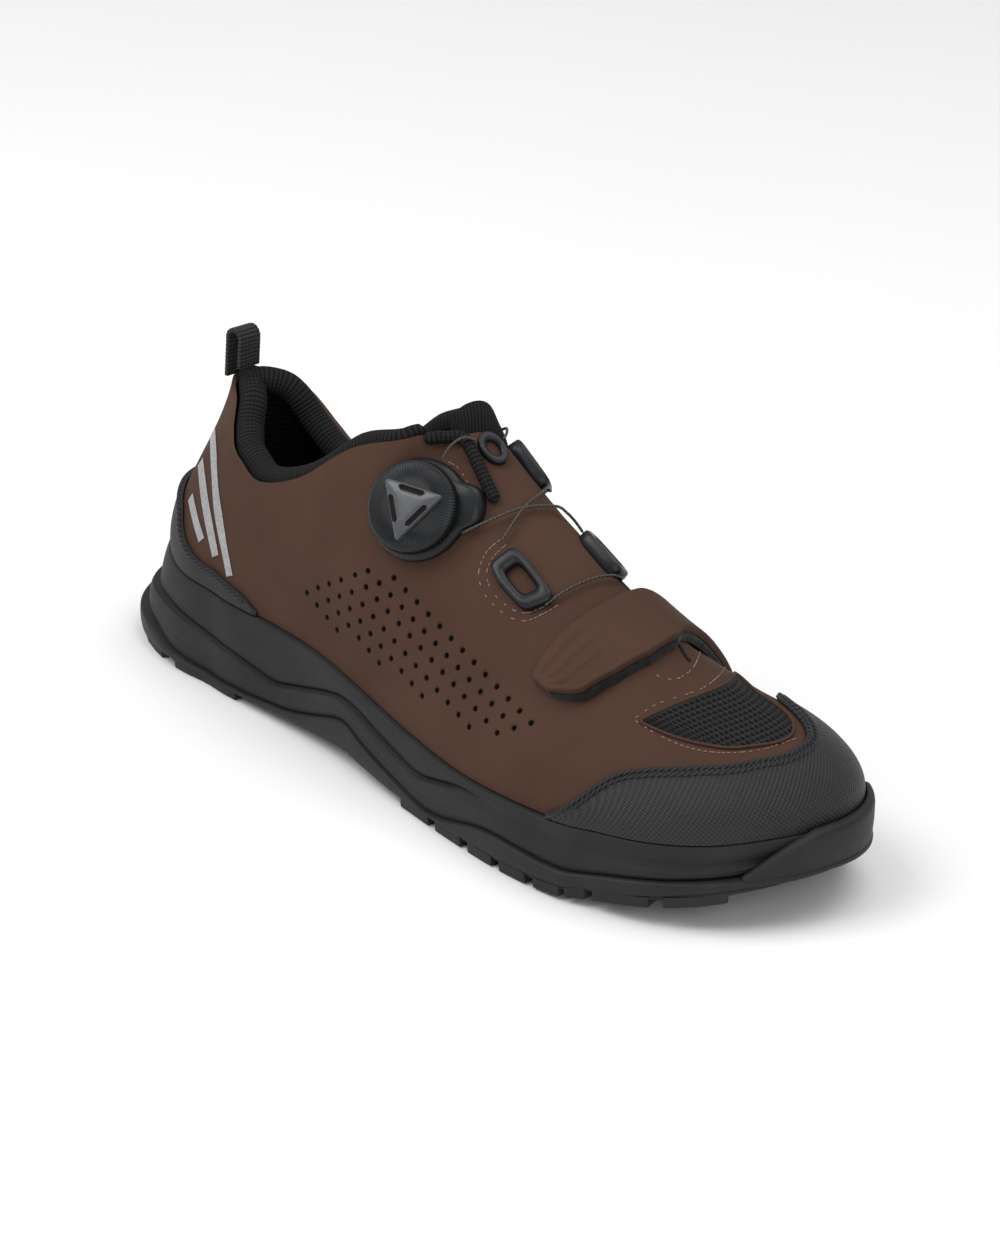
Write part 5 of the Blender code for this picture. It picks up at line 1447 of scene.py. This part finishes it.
# %% [markdown]
# ## Lace guides
# Low plastic frames, sewn to the upper, that the cable turns round in. Each is a ring between an outer and
# an inner outline with rounded edges. The outer guide's corners are found under the picture's, and the fourth
# piece is an oval eyelet near the throat.
# %% Guides
GUIDE_LENGTH, GUIDE_WIDTH, GUIDE_HEIGHT, GUIDE_BAR = 0.021, 0.0145, 0.0034, 0.0034
GUIDE_OUTLINE = np.array([(-1.0, -0.45), (-0.72, -1.0), (0.55, -1.0), (1.0, -0.2), (0.92, 1.0), (-0.8, 1.0)])
EYELET_LENGTH, EYELET_WIDTH, EYELET_HEIGHT = 0.0125, 0.0085, 0.0020
GUIDE_ROOT, EYELET_ROOT = 0.0024, 0.0015
# share of the bar's width from the outside, and share of the frame's height
FRAME_PROFILE = ((0, 0.72), (0.07, 0.90), (0.22, 1.0), (0.62, 1.0), (0.85, 0.88), (1.0, 0.62))


def rounded(outline, steps=3):
    """An outline with its corners cut round."""
    p = np.asarray(outline, float)
    for _ in range(steps):
        after = np.roll(p, -1, axis=0)
        p = np.stack([0.84 * p + 0.16 * after, 0.16 * p + 0.84 * after], 1).reshape(-1, 2)
    return p


def ring_body(name, outer, inner, root, height, where, material):
    """A frame between two outlines of equally many points, with a rounded top and its root in the upper."""
    grid = []
    top = [(mix, height * share) for mix, share in FRAME_PROFILE]
    for mix, z in [(0, -root)] + top + [(1, -root), (0, -root)]:
        plan = outer * (1 - mix) + inner * mix
        grid.append(np.concatenate([plan, np.full((len(plan), 1), z)], 1))
    grid = seated(np.stack(grid, 1), where)
    n, m = grid.shape[:2]
    faces, corners = quads(n, m, True)
    obj = build(name, grid.reshape(-1, 3), faces, mm_uv(grid, True)[corners].reshape(-1, 2), [material])
    mend(obj.data, WELD / 10)
    return obj


def guide(name, node, place, corners=None):
    """A guide with an even bar, or one with given corners in the picture and half of its plan open."""
    size = np.array([GUIDE_LENGTH / 2, GUIDE_WIDTH / 2])
    outline = GUIDE_OUTLINE * size * np.array([1, -1])
    share = 1 - GUIDE_BAR / size
    if corners is not None:
        outline, share = seen_on(corners, seat(*place), 0.7 * GUIDE_HEIGHT), 0.5
    centre = outline.mean(axis=0)
    outer, inner = rounded(outline), rounded(centre + (outline - centre) * share)
    body = ring_body(name, outer, inner, GUIDE_ROOT, GUIDE_HEIGHT, seat(*place), plastic.material)
    hand_over(body, "black_plastic", node)


# the outer guide's corners in the picture
GUIDE_CORNERS = ((511, 547), (521, 551), (553, 592), (551, 601), (524, 611), (497, 581), (489, 564))
guide("outer guide", "guide_outer_lower", (0.598, "out", 0.69), GUIDE_CORNERS)
guide("inner guide", "guide_inner_lower", (0.622, "in", 0.80))
guide("inner top guide", "guide_inner_upper", (0.492, "in", 0.74))
circle = turns(48)
oval = np.stack([np.cos(circle) * EYELET_LENGTH / 2, np.sin(circle) * EYELET_WIDTH / 2], -1)
eyelet = ring_body("eyelet", oval, oval / 2, EYELET_ROOT, EYELET_HEIGHT, seat(0.484, "out", 0.93),
                   plastic.material)
hand_over(eyelet, "black_plastic", "guide_outer_upper")

# %% [markdown]
# ## Lace cable
# One thin coated cable zig-zags between the dial and the guides. It is taut, so each run is a smooth line a
# little above the upper. The strands show as a fine slanted relief, with painted shade between them and
# painted highlight on them.
# %% Lace
CABLE_RADIUS = 0.8 * LACE_RADIUS  # the picture shows it a little thinner than the CAD's bars
# side, along as a share of LAST_LENGTH, up and lift in metres, as in the CAD source; the crossing's inner
# ends run on into their guides
LACE_RUNS = {
    "lace_dial_run": ((("out", 0.456, 0.735, 0.0050), ("out", 0.456, 0.790, 0.0056),
                       ("out", 0.462, 0.845, 0.0050), ("out", 0.471, 0.880, 0.0032)),),
    "lace_upper_run": ((("in", 0.4820, 0.998, 0.0020), ("in", 0.477, 0.950, 0.0028),
                        ("in", 0.468, 0.890, 0.0028), ("in", 0.458, 0.835, 0.0020)),),
    "lace_crossing": ((("out", 0.514, 0.625, 0.0030), ("out", 0.534, 0.740, 0.0028),
                       ("out", 0.550, 0.870, 0.0024), ("in", 0.566, 0.995, 0.0024),
                       ("in", 0.576, 0.930, 0.0024), ("in", 0.583, 0.860, 0.0018),
                       ("in", 0.593, 0.830, 0.0012)),
                      (("out", 0.556, 0.715, 0.0018), ("out", 0.554, 0.780, 0.0022),
                       ("out", 0.550, 0.870, 0.0024), ("in", 0.546, 0.995, 0.0024),
                       ("in", 0.540, 0.900, 0.0024), ("in", 0.533, 0.800, 0.0018),
                       ("in", 0.525, 0.772, 0.0012))),
    "lace_lower_run": ((("out", 0.640, 0.690, 0.0018), ("out", 0.647, 0.800, 0.0022),
                        ("out", 0.655, 0.920, 0.0022), ("in", 0.662, 0.995, 0.0024),
                        ("in", 0.666, 0.930, 0.0022), ("in", 0.6615, 0.855, 0.0018)),),
}
for node, routes in LACE_RUNS.items():
    runs = []
    for number, route in enumerate(routes):
        points = [skin(at_share(along, side), up, lift) for side, along, up, lift in route]
        path = even_path(smooth_path(points, 60), 60)
        runs.append(bar(f"{node} {number}", path, CABLE_RADIUS, cable.material))
    hand_over(joined(node.replace("_", " "), runs), "cable", node)

# %% [markdown]
# ## Pull loop
# A folded piece of ribbed webbing at the heel, to pull the shoe on by. Its cross ribs are real relief.
# %% Pull loop
LOOP_WIDTH, LOOP_RISE, LOOP_DEPTH, LOOP_THICK = 0.009, 0.018, 0.0074, 0.0013
LOOP_RIB_DEPTH, LOOP_RIB_PITCH = 0.00012, 0.0011
rim = skin(0, 1.0)
loop_low = rim[2] + 2 * FIT_GAP
inner_low = collar_crest + FIT_GAP
loop_middle = rim[0] + 0.5 * LOOP_DEPTH
loop_radius = LOOP_DEPTH / 2 - LOOP_THICK
loop_top = loop_low + LOOP_RISE - LOOP_DEPTH / 2
arc = np.linspace(np.pi, 0, 30)
legs = np.linspace(0, 1, 24)[:-1, None]


def leg(x, start, end):
    return np.array([x, start]) * (1 - legs) + np.array([x, end]) * legs


def loop_line(grow):
    """The webbing's way seen from the side: up behind the collar, over a bow and down in front of it."""
    r = loop_radius + grow
    bow = np.stack([loop_middle + r * np.cos(arc), loop_top + r * np.sin(arc)], -1)
    rear_leg, front_leg = leg(loop_middle - r, loop_low, loop_top), leg(loop_middle + r, loop_top, inner_low)
    return np.concatenate([rear_leg, bow, front_leg[1:]])


widths = np.linspace(-LOOP_WIDTH / 2, LOOP_WIDTH / 2, 9)
loop_run = run_along(loop_line(0.0)[:, None], 0)[:, 0]
rib = LOOP_RIB_DEPTH * np.sin(2 * np.pi * loop_run / LOOP_RIB_PITCH)
grids = []
for grow in (0.0, LOOP_THICK):
    line = loop_line(grow)
    grids.append(np.stack([np.stack([line[:, 0], np.full(len(line), w), line[:, 1]], -1) for w in widths], 1))
outwards = unit(grids[1] - grids[0])
centre_y = np.array([0, rim[1], 0])
loop_outer, loop_inner = grids[1] + outwards * rib[:, None, None] + centre_y, grids[0] + centre_y
loop = shell("pull loop", loop_outer, loop_inner, webbing.material)
mend(loop.data)
hand_over(loop, "black_knit", "pull_loop")

# %% [markdown]
# ## Seams, film and patch
# Small flat things that dress the upper: stitch rows round the dial, the outer guide and the toe mesh, a grey
# reflective film in plain slanted bars at the heel, and the slit and stitches of the half-round patch at the
# toe end of the strap.
# %% Details
STITCH_LIFT, FILM_LIFT, FILM_THICK, SLIT_RADIUS = 0.0001, 0.0003, 0.0001, 0.0006
# lines in the picture
DIAL_ROWS = (((443, 460), (457, 467), (466, 480), (472, 497)),
             ((373, 500), (373, 516), (378, 533), (387, 548)))
GUIDE_ROWS = (((503, 538), (487, 552), (479, 572), (483, 591), (495, 606), (509, 617), (526, 621),
               (545, 613), (557, 606)),
              ((505, 546), (493, 558), (487, 573), (491, 589), (501, 601), (513, 610), (527, 613),
               (543, 607)))
PATCH_ROW = ((648, 664), (659, 677), (677, 679), (692, 669), (699, 655), (702, 645))
MESH_ROWS = (((637, 717), (658, 704), (699, 690), (718, 677), (727, 664)),
             ((637, 722), (658, 735), (689, 748), (722, 753), (760, 750), (795, 739)))
PATCH_SLIT = ((679, 645), (684, 654), (690, 662))


def picture_line(points, lift, count=90):
    return seen(smooth_path(points, count), upper_tree, lift)


tan_lines = [picture_line(row, STITCH_LIFT) for row in (*DIAL_ROWS, *GUIDE_ROWS, PATCH_ROW, *MESH_ROWS)]
hand_over(stitches("tan stitches", tan_lines, tan_thread.material), "brown_microfibre")

# %% [markdown]
# ## Film and slit
# The film is thin, so each bar of it is a strip that is laid onto the upper point by point.
# %% Film
def film_bar(name, line, width):
    """A flat bar of film along a line in the picture."""
    path, out = picture_line(line, 0.0, 60)
    side = np.cross(unit(np.gradient(path, axis=0)), out)
    across = np.linspace(-0.5, 0.5, 7)
    grid = path[:, None] + side[:, None] * (across[None, :, None] * width)
    top, ways = np.zeros_like(grid), np.zeros_like(grid)
    for index in np.ndindex(grid.shape[:2]):
        hit, way, _, _ = upper_tree.find_nearest(Vector(grid[index]))
        way = np.array(way)
        ways[index] = way if way @ out[index[0]] > 0 else -way
        top[index] = np.array(hit) + ways[index] * FILM_LIFT
    return shell(name, top[:, ::-1], (top - ways * FILM_THICK)[:, ::-1], reflective.material)


# bars of growing length side by side: ends in the picture, and width
FILM = (
    ("film bar short", ((191, 497), (196, 520), (202, 540)), 0.0034),
    ("film bar middle", ((201, 462), (206, 505), (216, 556)), 0.0036),
    ("film bar long", ((213, 428), (217, 500), (230, 576)), 0.0038),
)
for name, line, width in FILM:
    hand_over(film_bar(name, line, width), "black_overlay")
# The patch's slit is a thin near-black bar on the upper: painted shade in the cut.
slit_path = picture_line(PATCH_SLIT, STITCH_LIFT, 20)[0]
hand_over(bar("patch slit", slit_path, SLIT_RADIUS, painted_recess_shade.material, sides=8), "brown_microfibre")

# %% [markdown]
# ## Camera, light and floor
# The shoe stands on a pale floor in soft light from a large lamp above, like a catalogue picture, seen from
# the outer side and a little above, with the camera rolled a few degrees.
# %% Stage
def add_camera():
    data = bpy.data.cameras.new("camera")
    data.lens, data.sensor_width, data.shift_x, data.shift_y = LENS, SENSOR, SHIFT_X, SHIFT_Y
    data.clip_end = 20
    camera = linked("camera", data)
    camera.matrix_world = Matrix.Translation(EYE) @ Matrix((RIGHT, UP, BACK)).transposed().to_4x4()
    bpy.context.scene.camera = camera


def add_lamp(name, place, size, power):
    data = bpy.data.lights.new(name, "AREA")
    data.size, data.energy = size, power
    lamp = linked(name, data)
    lamp.location = place
    lamp.rotation_euler = (Vector(AIM) - Vector(place)).to_track_quat("-Z", "Y").to_euler()


add_camera()
# name, place and size in metres, power in watts
for lamp in (("key lamp", (-0.5, -0.9, 1.3), 1.1, 16), ("top lamp", (0.3, 0.4, 1.6), 1.4, 12),
             ("front lamp", (1.3, -0.7, 0.7), 0.9, 5)):
    add_lamp(*lamp)
world = bpy.data.worlds.new("studio")
world.use_nodes = True
sky = world.node_tree.nodes["Background"].inputs
sky["Color"].default_value, sky["Strength"].default_value = (1, 1, 1, 1), 0.5
bpy.context.scene.world = world
bpy.context.scene.view_settings.view_transform = "Standard"

floor_mesh = bpy.data.meshes.new("floor")
floor_mesh.from_pydata([(-6, -6, 0), (6, -6, 0), (6, 6, 0), (-6, 6, 0)], [], [(0, 1, 2, 3)])
floor_finish = shade("pale floor", (0.86, 0.86, 0.86), (0.88, 0.88, 0.88), 0.9, 300, 0.00001, blotch=3)
floor_mesh.materials.append(floor_finish.material)
floor = linked("floor", floor_mesh)
floor.location.z = -0.0002  # just under the tread

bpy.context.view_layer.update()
